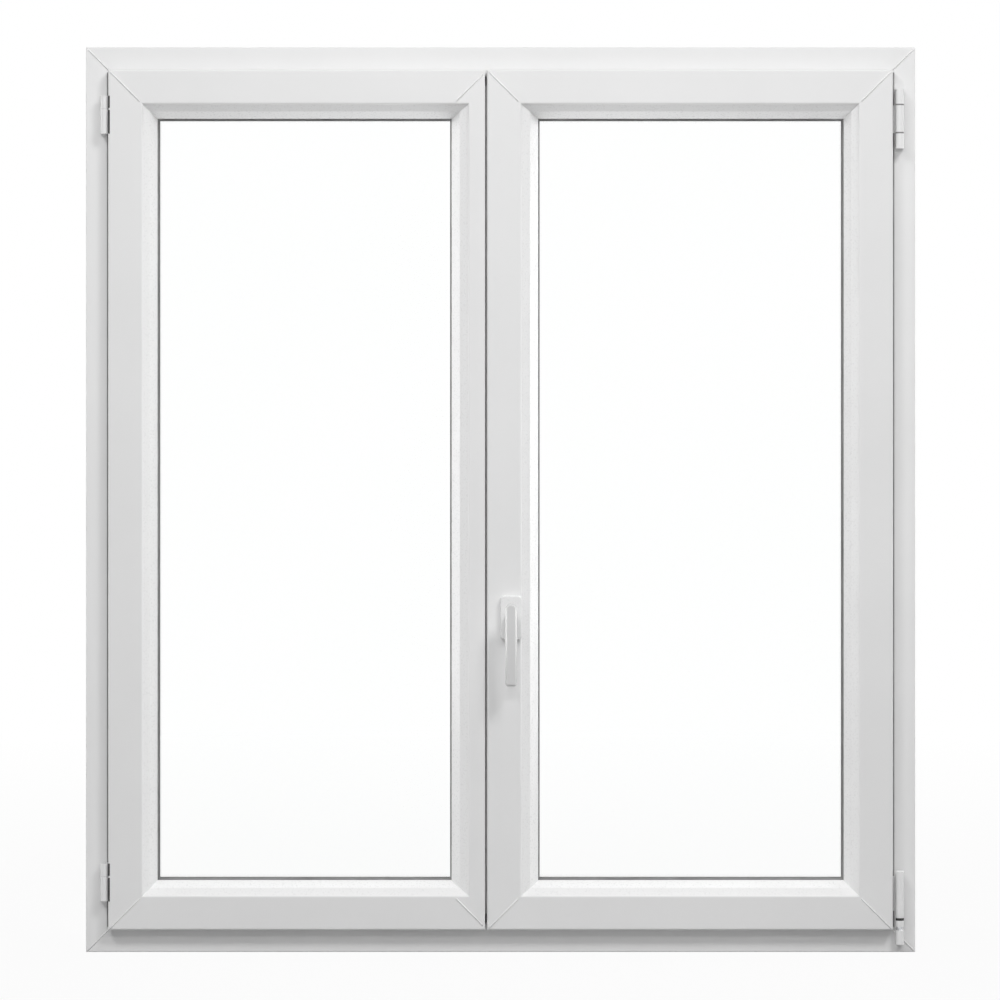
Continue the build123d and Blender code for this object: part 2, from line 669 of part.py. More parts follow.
def mullion_gasket():
    x1 = RIGHT_EDGE_X + LEAF_OVERLAP - 2
    return block(x1 - 4, x1, Y_LEAF_OUT, Y_LIP, FRAME_LIP + END_GAP, FRAME_HEIGHT - FRAME_LIP - END_GAP)


def mullion_end_caps():
    y1 = Y_FRAME_IN + 3.5
    low = block(LEFT_EDGE_X, MULLION_X, Y_FRAME_IN, y1, FRAME_WEB + 0.6, EDGE_LOW)
    high = block(LEFT_EDGE_X, MULLION_X, Y_FRAME_IN, y1, EDGE_HIGH, FRAME_HEIGHT - FRAME_WEB - 0.6)
    return [low, high]


def mullion_strikers():
    return [Pos(MULLION_X, 0, z) * striker() for z in CAM_HEIGHTS]


def bolt_x():
    return MULLION_X - BOLT_SKIN - BOLT_THICKNESS, MULLION_X - BOLT_SKIN


def bolt_span(up):
    """The bolt's length inside the mullion, for the upper (1) or lower (-1) bolt."""
    low = FRAME_WEB + BOLT_ROOM
    high = FRAME_HEIGHT - low
    return (high - BOLT_LENGTH, high) if up > 0 else (low, low + BOLT_LENGTH)


def knob_z(up):
    z0, z1 = bolt_span(up)
    return (z0 + z1) / 2


def shoot_bolt(up):
    x0, x1 = bolt_x()
    z0, z1 = bolt_span(up)
    bar = block(x0, x1, Y_GROOVE - BOLT_WIDTH / 2, Y_GROOVE + BOLT_WIDTH / 2, z0, z1)
    middle = knob_z(up)
    half, tall = KNOB_WIDTH / 2, KNOB_LENGTH / 2
    knob = block(x1, MULLION_X + KNOB_OUT, Y_GROOVE - half, Y_GROOVE + half, middle - tall, middle + tall)
    return bar + knob


def bolt_guides():
    guides = []
    for up in (1, -1):
        middle = knob_z(up)
        half, tall = GUIDE_WIDTH / 2, GUIDE_LENGTH / 2
        front = MULLION_X + GUIDE_THICKNESS
        guide = block(MULLION_X, front, Y_GROOVE - half, Y_GROOVE + half, middle - tall, middle + tall)
        wide = KNOB_WIDTH / 2 + KNOB_CLEARANCE
        low, high = sorted((middle, middle - up * BOLT_TRAVEL))
        end = KNOB_LENGTH / 2 + KNOB_CLEARANCE
        slot = block(MULLION_X - 1, front + 1, Y_GROOVE - wide, Y_GROOVE + wide, low - end, high + end)
        guides.append(guide - slot)
    return guides


# Hinges

def crank(axis_x, edge_x, r, z0, z1, pin_r):
    """A knuckle with a strap that passes behind the flange to a leaf's edge."""
    side = 1 if axis_x > 0 else -1
    y0, y1 = strap_y()
    body = rod_z(axis_x, HINGE_Y, r, z0, z1)
    body += span_x(axis_x - side * 4.9, axis_x, HINGE_Y, y1, z0, z1)
    body += span_x(edge_x, axis_x - side * 0.1, y0, y1, z0, z1)
    return body - rod_z(axis_x, HINGE_Y, pin_r, z0 - 1, z1 + 1)


def strap_y():
    """The strap's two faces, in the middle of the gap behind the flange."""
    middle = (Y_FLANGE + Y_FRAME_IN) / 2
    return middle - STRAP_THICKNESS / 2, middle + STRAP_THICKNESS / 2


def span_x(xa, xb, y0, y1, z0, z1):
    return block(min(xa, xb), max(xa, xb), y0, y1, z0, z1)


def frame_knuckle(axis_x, r, z0, z1, pin_r):
    body = rod_z(axis_x, HINGE_Y, r, z0, z1) + block(axis_x - r, axis_x + r, HINGE_Y, Y_FRAME_IN, z0, z1)
    return body - rod_z(axis_x, HINGE_Y, pin_r, z0 - 1, z1 + 1)


def left_hinge_frame_leaves():
    return [
        frame_knuckle(LEFT_HINGE_X, LEFT_BARREL_R, low, low + FRAME_KNUCKLE - KNUCKLE_GAP, HINGE_PIN_R)
        for low in LEFT_HINGE_FEET]


def left_hinge_pins():
    length = FRAME_KNUCKLE + LEAF_KNUCKLE
    return [rod_z(LEFT_HINGE_X, HINGE_Y, HINGE_PIN_R, low, low + length) for low in LEFT_HINGE_FEET]


def left_hinge_sash_leaves():
    edge = LEFT_RECT[0] + FLANGE
    parts = []
    for low in LEFT_HINGE_FEET:
        z0 = low + FRAME_KNUCKLE
        z1 = z0 + LEAF_KNUCKLE
        body = crank(LEFT_HINGE_X, edge, LEFT_BARREL_R, z0, z1, HINGE_PIN_R + RUN_CLEARANCE)
        y0 = strap_y()[0]
        strap = block(edge - ANGLE_THICKNESS, edge, y0, y0 + STRAP_REACH, z0 - STRAP_TAIL, z1)
        parts.append(body + strap)
    return parts


def stay_levels():
    """The three knuckles of the stay bearing, from the bottom."""
    low, middle, high = STAY_KNUCKLES
    a = STAY_LOW + low
    b = a + middle
    return (STAY_LOW, a - KNUCKLE_GAP), (a, b), (b + KNUCKLE_GAP, b + high)


def stay_bearing():
    low, _, high = stay_levels()
    parts = [frame_knuckle(RIGHT_HINGE_X, RIGHT_BARREL_R, z0, z1, HINGE_PIN_R) for z0, z1 in (low, high)]
    x0, x1 = RIGHT_HINGE_X + 0.5, RIGHT_HINGE_X + RIGHT_BARREL_R
    back = block(x0, x1, Y_FRAME_IN - 2, Y_FRAME_IN, low[0], high[1])
    return parts[0] + parts[1] + back


def stay_bearing_pin():
    low, _, high = stay_levels()
    return rod_z(RIGHT_HINGE_X, HINGE_Y, HINGE_PIN_R, low[0], high[1])


def stay_bar_z():
    low = EDGE_HIGH + STAY_LIFT
    return low, low + STAY_BAR_THICKNESS


def stay_arm():
    _, (z0, z1), _ = stay_levels()
    y0, y1 = strap_y()
    edge = RIGHT_RECT[1] - FLANGE + STAY_CRANK
    bar0, bar1 = stay_bar_z()
    pin_x = RIGHT_HINGE_X - STAY_LENGTH
    body = crank(RIGHT_HINGE_X, edge, RIGHT_BARREL_R, z0, z1, HINGE_PIN_R + RUN_CLEARANCE)
    body += block(edge, RIGHT_RECT[1] + 1, y0, y1, z1 - 5, bar1)
    body += block(edge, edge + 5, y0, Y_GROOVE + STAY_BAR_WIDTH / 2, bar0, bar1)
    body += block(pin_x, edge + 5, Y_GROOVE - STAY_BAR_WIDTH / 2, Y_GROOVE + STAY_BAR_WIDTH / 2, bar0, bar1)
    body += rod_z(pin_x, Y_GROOVE, STAY_BAR_WIDTH / 2, bar0, bar1)
    return body + rod_z(pin_x, Y_GROOVE, STAY_PIN_R, EDGE_HIGH - STAY_PIN_DEPTH, bar1)


def corner_bearing():
    z1 = TILT_Z - BALL_R - BALL_GAP
    z0 = z1 - BEARING_LENGTH
    body = frame_knuckle(RIGHT_HINGE_X, RIGHT_BARREL_R, z0, z1, HINGE_PIN_R + RUN_CLEARANCE)
    return body + rod_z(RIGHT_HINGE_X, HINGE_Y, RIGHT_BARREL_R, z0 + 0.5 - BEARING_FLOOR, z0 + 0.5)


def corner_pivot():
    z0 = TILT_Z - BALL_R - BALL_GAP - BEARING_LENGTH
    shank = rod_z(RIGHT_HINGE_X, HINGE_Y, HINGE_PIN_R, z0 + 0.8, TILT_Z)
    return shank + Pos(RIGHT_HINGE_X, HINGE_Y, TILT_Z) * Sphere(BALL_R)


def corner_hinge_strap():
    edge = RIGHT_RECT[1] - FLANGE
    core = RIGHT_BARREL_R - CAP_WALL
    body = crank(RIGHT_HINGE_X, edge, core, CAP_LOW + 6, CAP_HIGH - 8, 0.5)
    body += rod_z(RIGHT_HINGE_X, HINGE_Y, core, CAP_LOW, CAP_HIGH - CAP_TOP)
    body += rod_z(RIGHT_HINGE_X, HINGE_Y, RIGHT_BARREL_R, TILT_Z + 0.3, CAP_LOW)
    y0, y1 = strap_y()[0], Y_GROOVE + GROOVE_WIDTH / 2
    body += block(edge, edge + ANGLE_THICKNESS, y0, y1, CAP_LOW + 6, CAP_HIGH + 40)
    return body - Pos(RIGHT_HINGE_X, HINGE_Y, TILT_Z) * Sphere(BALL_R + RUN_CLEARANCE)


def corner_hinge_cap():
    core = RIGHT_BARREL_R - CAP_WALL
    cap = rod_z(RIGHT_HINGE_X, HINGE_Y, RIGHT_BARREL_R, CAP_LOW + 0.3, CAP_HIGH)
    cap = fillet(cap.edges().group_by(Axis.Z)[-1], 1.5)
    cap -= rod_z(RIGHT_HINGE_X, HINGE_Y, core, CAP_LOW, CAP_HIGH - CAP_TOP)
    x0 = RIGHT_HINGE_X - RIGHT_BARREL_R - 1
    return cap - block(x0, RIGHT_HINGE_X + 0.2, HINGE_Y - 0.2, Y_FRAME_IN, CAP_LOW, CAP_HIGH - 7)


# Right leaf

def gear_pocket():
    half = case_half() + 1
    wide = CASE_WIDTH / 2 + SLOT_CLEARANCE
    return block(
        RIGHT_RECT[0] + FLANGE + GROOVE_DEPTH - 1, RIGHT_RECT[0] + LEAF_FACE - CASE_BACK + SLOT_CLEARANCE,
        Y_GROOVE - wide, Y_GROOVE + wide, HANDLE_Z - half, HANDLE_Z + half)


def case_half():
    return ROD_TRAVEL + CASE_END


def handle_holes():
    holes = rod_y(HANDLE_X, HANDLE_Z, SPINDLE * 0.9, Y_LEAF_IN - 1, Y_GROOVE)
    for z in (-SCREW_SPACING / 2, SCREW_SPACING / 2):
        holes += rod_y(HANDLE_X, HANDLE_Z + z, SCREW_R + 0.3, Y_LEAF_IN - 1, Y_GROOVE)
    return holes


def handle_opening():
    """One opening in the steel for the spindle and both screws."""
    half = SCREW_SPACING / 2 + 5
    return block(
        HANDLE_X - SPINDLE, HANDLE_X + SPINDLE, Y_LEAF_IN, Y_GROOVE, HANDLE_Z - half, HANDLE_Z + half)


def right_members():
    parts = leaf_members(RIGHT_RECT, RIGHT_BEADS)
    parts["left"] = parts["left"] - gear_pocket() - handle_holes()
    return parts


def right_reinforcement():
    bars = leaf_reinforcement(RIGHT_RECT)
    bars[0] = bars[0] - gear_pocket() - handle_opening()
    return bars


def right_leaf_gasket():
    left, top, right, bottom = leaf_gasket(RIGHT_RECT, ORDER)
    x1 = RIGHT_RECT[1]
    _, (z0, _), _ = stay_levels()
    right -= block(x1 - FLANGE, x1, Y_LEAF_IN, Y_FRAME_IN, z0 - 1, stay_bar_z()[1] + 1)
    right -= block(x1 - FLANGE, x1, Y_LEAF_IN, Y_FRAME_IN, CAP_LOW + 5, CAP_HIGH - 7)
    return left.solids() + top.solids() + right.solids() + bottom.solids()


def cam_slot(along, back):
    """A slot for a cam's stem; back is the way the rod moves."""
    r = CAM_STEM_R + SLOT_CLEARANCE
    far = along + back * ROD_TRAVEL
    low, high = min(along, far) - r, max(along, far) + r
    return block(FLANGE - 1, FLANGE + PLATE_THICKNESS + 1, Y_GROOVE - r, Y_GROOVE + r, low, high)


def face_strip(low, high):
    half = GROOVE_WIDTH / 2 - SIDE_FIT
    return block(FLANGE, FLANGE + PLATE_THICKNESS, Y_GROOVE - half, Y_GROOVE + half, low, high)


def bottom_along(x):
    """Distance along the bottom rail, which runs from the right."""
    return RIGHT_RECT[1] - x


def faceplates():
    length = length_of("left", RIGHT_RECT)
    end = CORNER_LEG + PLATE_GAP
    lock = face_strip(end, length - end)
    for z in CAM_HEIGHTS:
        lock -= cam_slot(z - RIGHT_RECT[2], -1)
    pin = STAY_PIN_ALONG
    top = face_strip(end, pin + TOP_PLATE_REACH) - cam_slot(TOP_CAM_X - RIGHT_RECT[0], -1)
    wide = STAY_PIN_R + STAY_SLOT_SIDE
    top -= block(
        FLANGE - 1, FLANGE + PLATE_THICKNESS + 1, Y_GROOVE - wide, Y_GROOVE + wide,
        pin - STAY_PIN_R - STAY_SLOT_END, pin + STAY_SLOT_TRAVEL + STAY_PIN_R + STAY_SLOT_END)
    far = length_of("bottom", RIGHT_RECT) - end
    bottom = face_strip(far - BOTTOM_PLATE_LENGTH, far) - cam_slot(bottom_along(BOTTOM_CAM_X), -1)
    strips = {"left": lock, "top": top, "bottom": bottom}
    return [place(strip, side, RIGHT_RECT) for side, strip in strips.items()]


def corner_drive(flip):
    """An angle plate at a lock-side corner, and the spring band that joins two rods."""
    half = GROOVE_WIDTH / 2 - SIDE_FIT
    arm = outline(
        (FLANGE, FLANGE), (CORNER_LEG, FLANGE), (CORNER_LEG, FLANGE + PLATE_THICKNESS),
        (FLANGE + PLATE_THICKNESS, FLANGE + PLATE_THICKNESS), (FLANGE + PLATE_THICKNESS, CORNER_LEG),
        (FLANGE, CORNER_LEG))
    angle = plate(arm, Y_GROOVE - half, Y_GROOVE + half)
    inner = ROD_OUT + ROD_GAP
    outer = inner + BAND_THICKNESS
    bend = inner + BAND_BEND
    tail = CORNER_LEG + BAND_TAIL
    arc_in = Pos(bend, bend) * (Circle(bend - inner) - Circle(bend - outer)) & window(0, bend, 0, bend)
    strip = arc_in + window(bend, tail, inner, outer) + window(inner, outer, bend, tail)
    band = plate(strip, Y_GROOVE - ROD_WIDTH / 2, Y_GROOVE + ROD_WIDTH / 2)
    parts = [angle, band]
    if flip:
        parts = [mirror(part, about=Plane.XY) for part in parts]
    z = RIGHT_RECT[3] if flip else RIGHT_RECT[2]
    return [Pos(RIGHT_RECT[0], 0, z) * part for part in parts]


def corner_drives():
    return corner_drive(False) + corner_drive(True)


def cam(along):
    """A locking cam on a rod, along X from the rod out into the air gap."""
    stem = rod_x(Y_GROOVE, along, CAM_STEM_R, FLANGE - CAM_REACH, ROD_IN + 0.5)
    return stem + rod_x(Y_GROOVE, along, CAM_R, FLANGE - CAM_REACH + CAM_TIP, FLANGE - CAM_FOOT)


def drive_rod(low, high):
    return block(ROD_IN, ROD_OUT, Y_GROOVE - ROD_WIDTH / 2, Y_GROOVE + ROD_WIDTH / 2, low, high)


def lock_rod():
    length = length_of("left", RIGHT_RECT)
    end = CORNER_LEG + ROD_END
    rod = drive_rod(end, length - end)
    for z in CAM_HEIGHTS:
        rod += cam(z - RIGHT_RECT[2])
    rod = place(rod, "left", RIGHT_RECT)
    return rod - rack_room() + rack()


def rack_span():
    return HANDLE_Z - RACK_MARGIN, HANDLE_Z + ROD_TRAVEL + RACK_MARGIN


def rack_root():
    return HANDLE_X - PINION_PITCH_R - PINION_ADDENDUM - ROOT_CLEARANCE


def rack_room():
    low, high = rack_span()
    return block(rack_root(), HANDLE_X, Y_GROOVE - GROOVE_WIDTH, Y_GROOVE + GROOVE_WIDTH, low, high)


def rack():
    """Straight-flanked teeth that mesh with the pinion at rest."""
    pitch = 2 * pi * PINION_PITCH_R / PINION_TEETH
    slope = tan(radians(PRESSURE_ANGLE))
    x_pitch = HANDLE_X - PINION_PITCH_R
    root = rack_root()
    half = pitch / 4 - BACKLASH / 4
    at_root = half + (x_pitch - root) * slope
    at_tip = half - RACK_ADDENDUM * slope
    low, high = rack_span()
    first = int((HANDLE_Z - low) / pitch - 0.5)
    last = int((high - HANDLE_Z) / pitch - 0.5)
    teeth = Sketch()
    for i in range(-first, last + 1):
        z = HANDLE_Z + (i + 0.5) * pitch
        teeth += make_face(Polyline(
            (root - 0.2, z - at_root), (x_pitch + RACK_ADDENDUM, z - at_tip),
            (x_pitch + RACK_ADDENDUM, z + at_tip), (root - 0.2, z + at_root), close=True))
    return plate(teeth, Y_GROOVE - ROD_WIDTH / 2 + 1, Y_GROOVE + ROD_WIDTH / 2 - 1)


def top_rod():
    rod = drive_rod(TOP_ROD_LOW, TOP_ROD_HIGH) + cam(TOP_CAM_X - RIGHT_RECT[0])
    return place(rod, "top", RIGHT_RECT)


def bottom_rod():
    far = length_of("bottom", RIGHT_RECT) - CORNER_LEG - ROD_END
    rod = drive_rod(far - BOTTOM_ROD_LENGTH, far) + cam(bottom_along(BOTTOM_CAM_X))
    return place(rod, "bottom", RIGHT_RECT)


def hub_r():
    return SPINDLE * 0.74


def drive_pinion():
    """An involute pinion with one tooth pointing at the rack."""
    base = PINION_PITCH_R * cos(radians(PRESSURE_ANGLE))
    tip = PINION_PITCH_R + PINION_ADDENDUM
    root = PINION_PITCH_R - RACK_ADDENDUM - ROOT_CLEARANCE
    angle = radians(PRESSURE_ANGLE)
    half_pitch = (pi * PINION_PITCH_R / PINION_TEETH / 2 - BACKLASH / 4) / PINION_PITCH_R
    half_base = half_pitch + tan(angle) - angle

    def half_at(r):
        turn = acos(base / r)
        return half_base - (tan(turn) - turn)

    radii = [base + (tip - base) * i / 4 for i in range(5)]
    flank = [(root, half_base)] + [(r, half_at(r)) for r in radii]
    points = []
    for i in range(PINION_TEETH):
        middle = 2 * pi * i / PINION_TEETH
        for r, half in flank:
            points.append((r * cos(middle - half), r * sin(middle - half)))
        for r, half in reversed(flank):
            points.append((r * cos(middle + half), r * sin(middle + half)))
    wide = PINION_WIDTH / 2
    teeth = plate(make_face(Polyline(*points, close=True)), Y_GROOVE - wide, Y_GROOVE + wide)
    hub = rod_y(0, 0, hub_r(), Y_GROOVE - CASE_WIDTH / 2, Y_GROOVE + CASE_WIDTH / 2)
    side = SPINDLE / 2 + RUN_CLEARANCE
    hole = block(-side, side, Y_GROOVE - CASE_WIDTH, Y_GROOVE + CASE_WIDTH, -side, side)
    return Pos(HANDLE_X, 0, HANDLE_Z) * (teeth + hub - hole)


def gearbox_case():
    half = case_half()
    wide = CASE_WIDTH / 2
    room = wide - CASE_WALL
    x0 = RIGHT_RECT[0] + ROD_IN
    x1 = RIGHT_RECT[0] + LEAF_FACE - CASE_BACK
    case = block(x0, x1, Y_GROOVE - wide, Y_GROOVE + wide, HANDLE_Z - half, HANDLE_Z + half)
    inside = half - CASE_WALL
    case -= block(
        x0 - 1, x1 - 1.5, Y_GROOVE - room, Y_GROOVE + room, HANDLE_Z - inside, HANDLE_Z + inside)
    case -= block(
        x0 - 1, x0 + ROD_THICKNESS + SLOT_CLEARANCE, Y_GROOVE - room, Y_GROOVE + room, 0, FRAME_HEIGHT)
    case -= rod_y(HANDLE_X, HANDLE_Z, hub_r() + RUN_CLEARANCE, Y_GROOVE - wide - 1, Y_GROOVE + wide + 1)
    for z in (-SCREW_SPACING / 2, SCREW_SPACING / 2):
        case -= rod_y(HANDLE_X, HANDLE_Z + z, SCREW_R, Y_GROOVE - wide - 1, Y_GROOVE)
    return case


# Handle

def base_front():
    """The front of the base plate, under the rosette's face."""
    return Y_LEAF_IN - ROSETTE_DEPTH + ROSETTE_FACE + PLATE_GAP


def handle_base():
    y0 = base_front()
    half = ROSETTE_WIDTH / 2 - ROSETTE_WALL - STEEL_FIT
    tall = ROSETTE_HEIGHT / 2 - ROSETTE_WALL - STEEL_FIT
    base = block(
        HANDLE_X - half, HANDLE_X + half, y0, Y_LEAF_IN, HANDLE_Z - tall, HANDLE_Z + tall)
    base = fillet(base.edges().filter_by(Axis.Y), 3)
    base -= rod_y(HANDLE_X, HANDLE_Z, NECK_R + 0.3, y0 - 1, Y_LEAF_IN + 1)
    for z in (-SCREW_SPACING / 2, SCREW_SPACING / 2):
        base -= rod_y(HANDLE_X, HANDLE_Z + z, SCREW_R + SIDE_FIT, y0 - 1, Y_LEAF_IN + 1)
        base -= rod_y(HANDLE_X, HANDLE_Z + z, SCREW_R + SCREW_HEAD + SIDE_FIT, y0 - 1, y0 + HEAD_DEPTH)
    return base


def handle_rosette():
    y0 = Y_LEAF_IN - ROSETTE_DEPTH
    cover = block(
        HANDLE_X - ROSETTE_WIDTH / 2, HANDLE_X + ROSETTE_WIDTH / 2, y0, Y_LEAF_IN,
        HANDLE_Z - ROSETTE_HEIGHT / 2, HANDLE_Z + ROSETTE_HEIGHT / 2)
    cover = fillet(cover.edges().filter_by(Axis.Y), 5)
    cover = fillet(cover.edges().group_by(Axis.Y)[0], 2)
    half = ROSETTE_WIDTH / 2 - ROSETTE_WALL
    tall = ROSETTE_HEIGHT / 2 - ROSETTE_WALL
    cover -= block(
        HANDLE_X - half, HANDLE_X + half, y0 + ROSETTE_FACE, Y_LEAF_IN + 1, HANDLE_Z - tall, HANDLE_Z + tall)
    return cover - rod_y(HANDLE_X, HANDLE_Z, NECK_R + 0.3, y0 - 1, Y_LEAF_IN + 1)


def handle_screws():
    y0 = base_front() + SIDE_FIT
    screws = []
    for z in (HANDLE_Z - SCREW_SPACING / 2, HANDLE_Z + SCREW_SPACING / 2):
        screw = rod_y(HANDLE_X, z, SCREW_R + SCREW_HEAD, y0, base_front() + HEAD_DEPTH)
        screws.append(screw + rod_y(HANDLE_X, z, SCREW_R, y0, Y_GROOVE - CASE_WIDTH / 2 + CASE_WALL))
    return screws


def lever_back():
    return Y_LEAF_IN - ROSETTE_DEPTH - NECK_LENGTH


def lever_side():
    """The lever's side view: its front curves in towards a thinner lower end."""
    back = lever_back()
    front, tip = back - LEVER_THICKNESS, back - LEVER_TIP
    top, low = HANDLE_Z + LEVER_TOP, HANDLE_Z - LEVER_DROP
    curve = TangentArc((front, HANDLE_Z), (tip, low), tangent=(0, -1))
    rest = Polyline((tip, low), (back, low), (back, top), (front, top), (front, HANDLE_Z))
    return Pos(HANDLE_X - LEVER_WIDTH, 0, 0) * extrude(Plane.YZ * make_face([curve, rest]), 2 * LEVER_WIDTH)


def handle_lever():
    y0 = lever_back()
    half = LEVER_WIDTH / 2
    top = HANDLE_Z + LEVER_TOP
    low = HANDLE_Z - LEVER_DROP
    face = outline(
        (HANDLE_X - half, top, half * 0.85), (HANDLE_X + half, top, half * 0.85),
        (HANDLE_X + half * LEVER_TAPER, low, LEVER_CORNER),
        (HANDLE_X - half * LEVER_TAPER, low, LEVER_CORNER))
    grip = plate(face, y0 - LEVER_THICKNESS, y0) & lever_side()
    back = grip.edges().group_by(Axis.Y)[-1]
    grip = fillet(back, 1.5)
    front = [edge for edge in grip.edges() if edge.center().Y < y0 - LEVER_TIP / 2 - 1]
    grip = chamfer(front, LEVER_BEVEL)
    neck = rod_y(HANDLE_X, HANDLE_Z, NECK_R, y0 - 3, Y_LEAF_IN - 0.4)
    side = SPINDLE / 2
    socket = block(HANDLE_X - side, HANDLE_X + side, y0 + 4, Y_LEAF_IN, HANDLE_Z - side, HANDLE_Z + side)
    return grip + neck - socket


def handle_spindle():
    side = SPINDLE / 2
    y0 = lever_back() + 4
    return block(HANDLE_X - side, HANDLE_X + side, y0, Y_GROOVE + 7, HANDLE_Z - side, HANDLE_Z + side)


def build():
    """Every node by name; a list is a group of separate solids."""
    frame = frame_members()
    left = left_members()
    right = right_members()
    return {
        "frame_head": frame["top"],
        "frame_sill": frame["bottom"],
        "frame_jamb_left": frame["left"],
        "frame_jamb_right": frame["right"],
        "frame_reinforcement": frame_reinforcement(),
        "frame_gasket": frame_gasket(),
        "frame_strikers": frame_strikers(),
        "drain_caps": drain_caps(),
        "left_hinge_frame_leaves": left_hinge_frame_leaves(),
        "left_hinge_pins": left_hinge_pins(),
        "stay_bearing": stay_bearing(),
        "stay_bearing_pin": stay_bearing_pin(),
        "corner_bearing": corner_bearing(),
        "left_top_rail": left["top"],
        "left_bottom_rail": left["bottom"],
        "left_hinge_stile": left["left"],
        "left_meeting_stile": left["right"],
        "left_beads": beads(LEFT_RECT, LEFT_BEADS),
        "left_panes": panes(LEFT_RECT),
        "left_spacer": spacer(LEFT_RECT),
        "left_edge_sealant": edge_sealant(LEFT_RECT),
        "left_glazing_gaskets": glazing_gaskets(LEFT_RECT, LEFT_BEADS),
        "left_setting_blocks": setting_blocks(LEFT_RECT),
        "left_reinforcement": leaf_reinforcement(LEFT_RECT),
        "left_leaf_gasket": left_leaf_gasket(),
        "left_hinge_sash_leaves": left_hinge_sash_leaves(),
        "floating_mullion": mullion_parts(),
        "mullion_end_caps": mullion_end_caps(),
        "mullion_strikers": mullion_strikers(),
        "bolt_guides": bolt_guides(),
        "upper_shoot_bolt": shoot_bolt(1),
        "lower_shoot_bolt": shoot_bolt(-1),
        "corner_pivot": corner_pivot(),
        "right_top_rail": right["top"],
        "right_bottom_rail": right["bottom"],
        "right_hinge_stile": right["right"],
        "right_lock_stile": right["left"],
        "right_beads": beads(RIGHT_RECT, RIGHT_BEADS),
        "right_panes": panes(RIGHT_RECT),
        "right_spacer": spacer(RIGHT_RECT),
        "right_edge_sealant": edge_sealant(RIGHT_RECT),
        "right_glazing_gaskets": glazing_gaskets(RIGHT_RECT, RIGHT_BEADS),
        "right_setting_blocks": setting_blocks(RIGHT_RECT),
        "right_reinforcement": right_reinforcement(),
        "right_leaf_gasket": right_leaf_gasket(),
        "corner_hinge_strap": corner_hinge_strap(),
        "corner_hinge_cap": corner_hinge_cap(),
        "stay_arm": stay_arm(),
        "faceplates": faceplates(),
        "corner_drives": corner_drives(),
        "gearbox_case": gearbox_case(),
        "lock_rod": lock_rod(),
        "top_rod": top_rod(),
        "bottom_rod": bottom_rod(),
        "drive_pinion": drive_pinion(),
        "handle_base": handle_base(),
        "handle_rosette": handle_rosette(),
        "handle_screws": handle_screws(),
        "handle_lever": handle_lever(),
        "handle_spindle": handle_spindle(),
    }


def main():
    os.makedirs("parts", exist_ok=True)
    for name, shape in build().items():
        solids = shape if isinstance(shape, list) else shape.solids()
        export_step(group(solids) if len(solids) > 1 else solids[0], f"parts/{name}.step")


main()
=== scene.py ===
from math import cos, pi, radians, sin

import bmesh
import bpy
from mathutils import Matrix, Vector


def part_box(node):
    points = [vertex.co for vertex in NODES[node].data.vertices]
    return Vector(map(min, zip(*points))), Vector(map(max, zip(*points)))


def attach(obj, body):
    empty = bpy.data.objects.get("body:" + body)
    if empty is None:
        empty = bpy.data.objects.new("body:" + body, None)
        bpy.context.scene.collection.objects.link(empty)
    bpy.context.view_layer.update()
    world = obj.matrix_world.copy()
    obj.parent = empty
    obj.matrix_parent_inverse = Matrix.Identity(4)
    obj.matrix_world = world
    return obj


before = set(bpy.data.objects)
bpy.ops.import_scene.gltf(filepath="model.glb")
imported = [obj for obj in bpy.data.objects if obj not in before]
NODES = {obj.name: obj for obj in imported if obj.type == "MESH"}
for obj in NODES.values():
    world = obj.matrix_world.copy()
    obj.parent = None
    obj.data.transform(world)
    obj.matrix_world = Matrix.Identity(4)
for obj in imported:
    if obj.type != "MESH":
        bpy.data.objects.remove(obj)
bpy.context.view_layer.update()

# Camera
IMAGE = 1000  # pixels each way
MM_PER_PIXEL = 1.3263
PHOTO_MIDDLE = (500.6, 500.0)  # pixel column of the window's middle, and the image's middle row
SILL_ROW = 952.0  # pixel row of the sill's lower edge
CAMERA_DISTANCE = 6.0  # metres in front of the frame's face
CAMERA_HEIGHT = 0.72
SENSOR = 36.0  # millimetres

# Profiles, in metres
EDGE_ROUND = 0.0026  # a profile's rounded outer edge, where seams and seals stop
MEETING_GAP = 0.0026  # between the two leaves

# Weld seams, in metres
SEAM_WIDTH = 0.0024
SEAM_HEIGHT = 0.0014
SEAM_SINK = 0.0002  # how far a seam's long edges lie below the face
SEAM_STEPS = 6  # faces across a seam
SEAM_STATIONS = (0.0, 0.02, 0.5, 0.98, 1.0)  # shares of a seam's length
SEAM_END_SWELL = 0.3  # share of the full height that is left at a seam's ends

# Painted shade: dark strips beside the left hinges, standing in for the shade in the gap between hinge
# barrel and leaf, in metres
STRIP_WIDTH = 0.0022
STRIP_PROUD = 0.0006  # in front of the leaf's face
STRIP_SPLIT = 0.0014  # half of the break at the hinge's joint
HINGE_HEIGHT = 0.050

# Gasket lips beside the jambs, in metres
LIP_WIDTH = 0.0030  # past the leaf's edge
LIP_PROUD = 0.0014  # in front of the frame's face
LIP_SUNK = 0.0006  # inside the leaf's edge

# Washers at the joints of the right hinges, in metres
STAY_JOINTS = (0.0208, 0.0580)  # above the lower end of the stay's pin
CORNER_JOINT = 0.0450  # above the sill's lower edge
WASHER_SUNK = 0.0005
WASHER_PROUD = 0.0002
WASHER_EASE = 0.0001
WASHER_STEPS = 48
STAY_WASHER_HEIGHT = 0.0019
CORNER_WASHER_HEIGHT = 0.0034

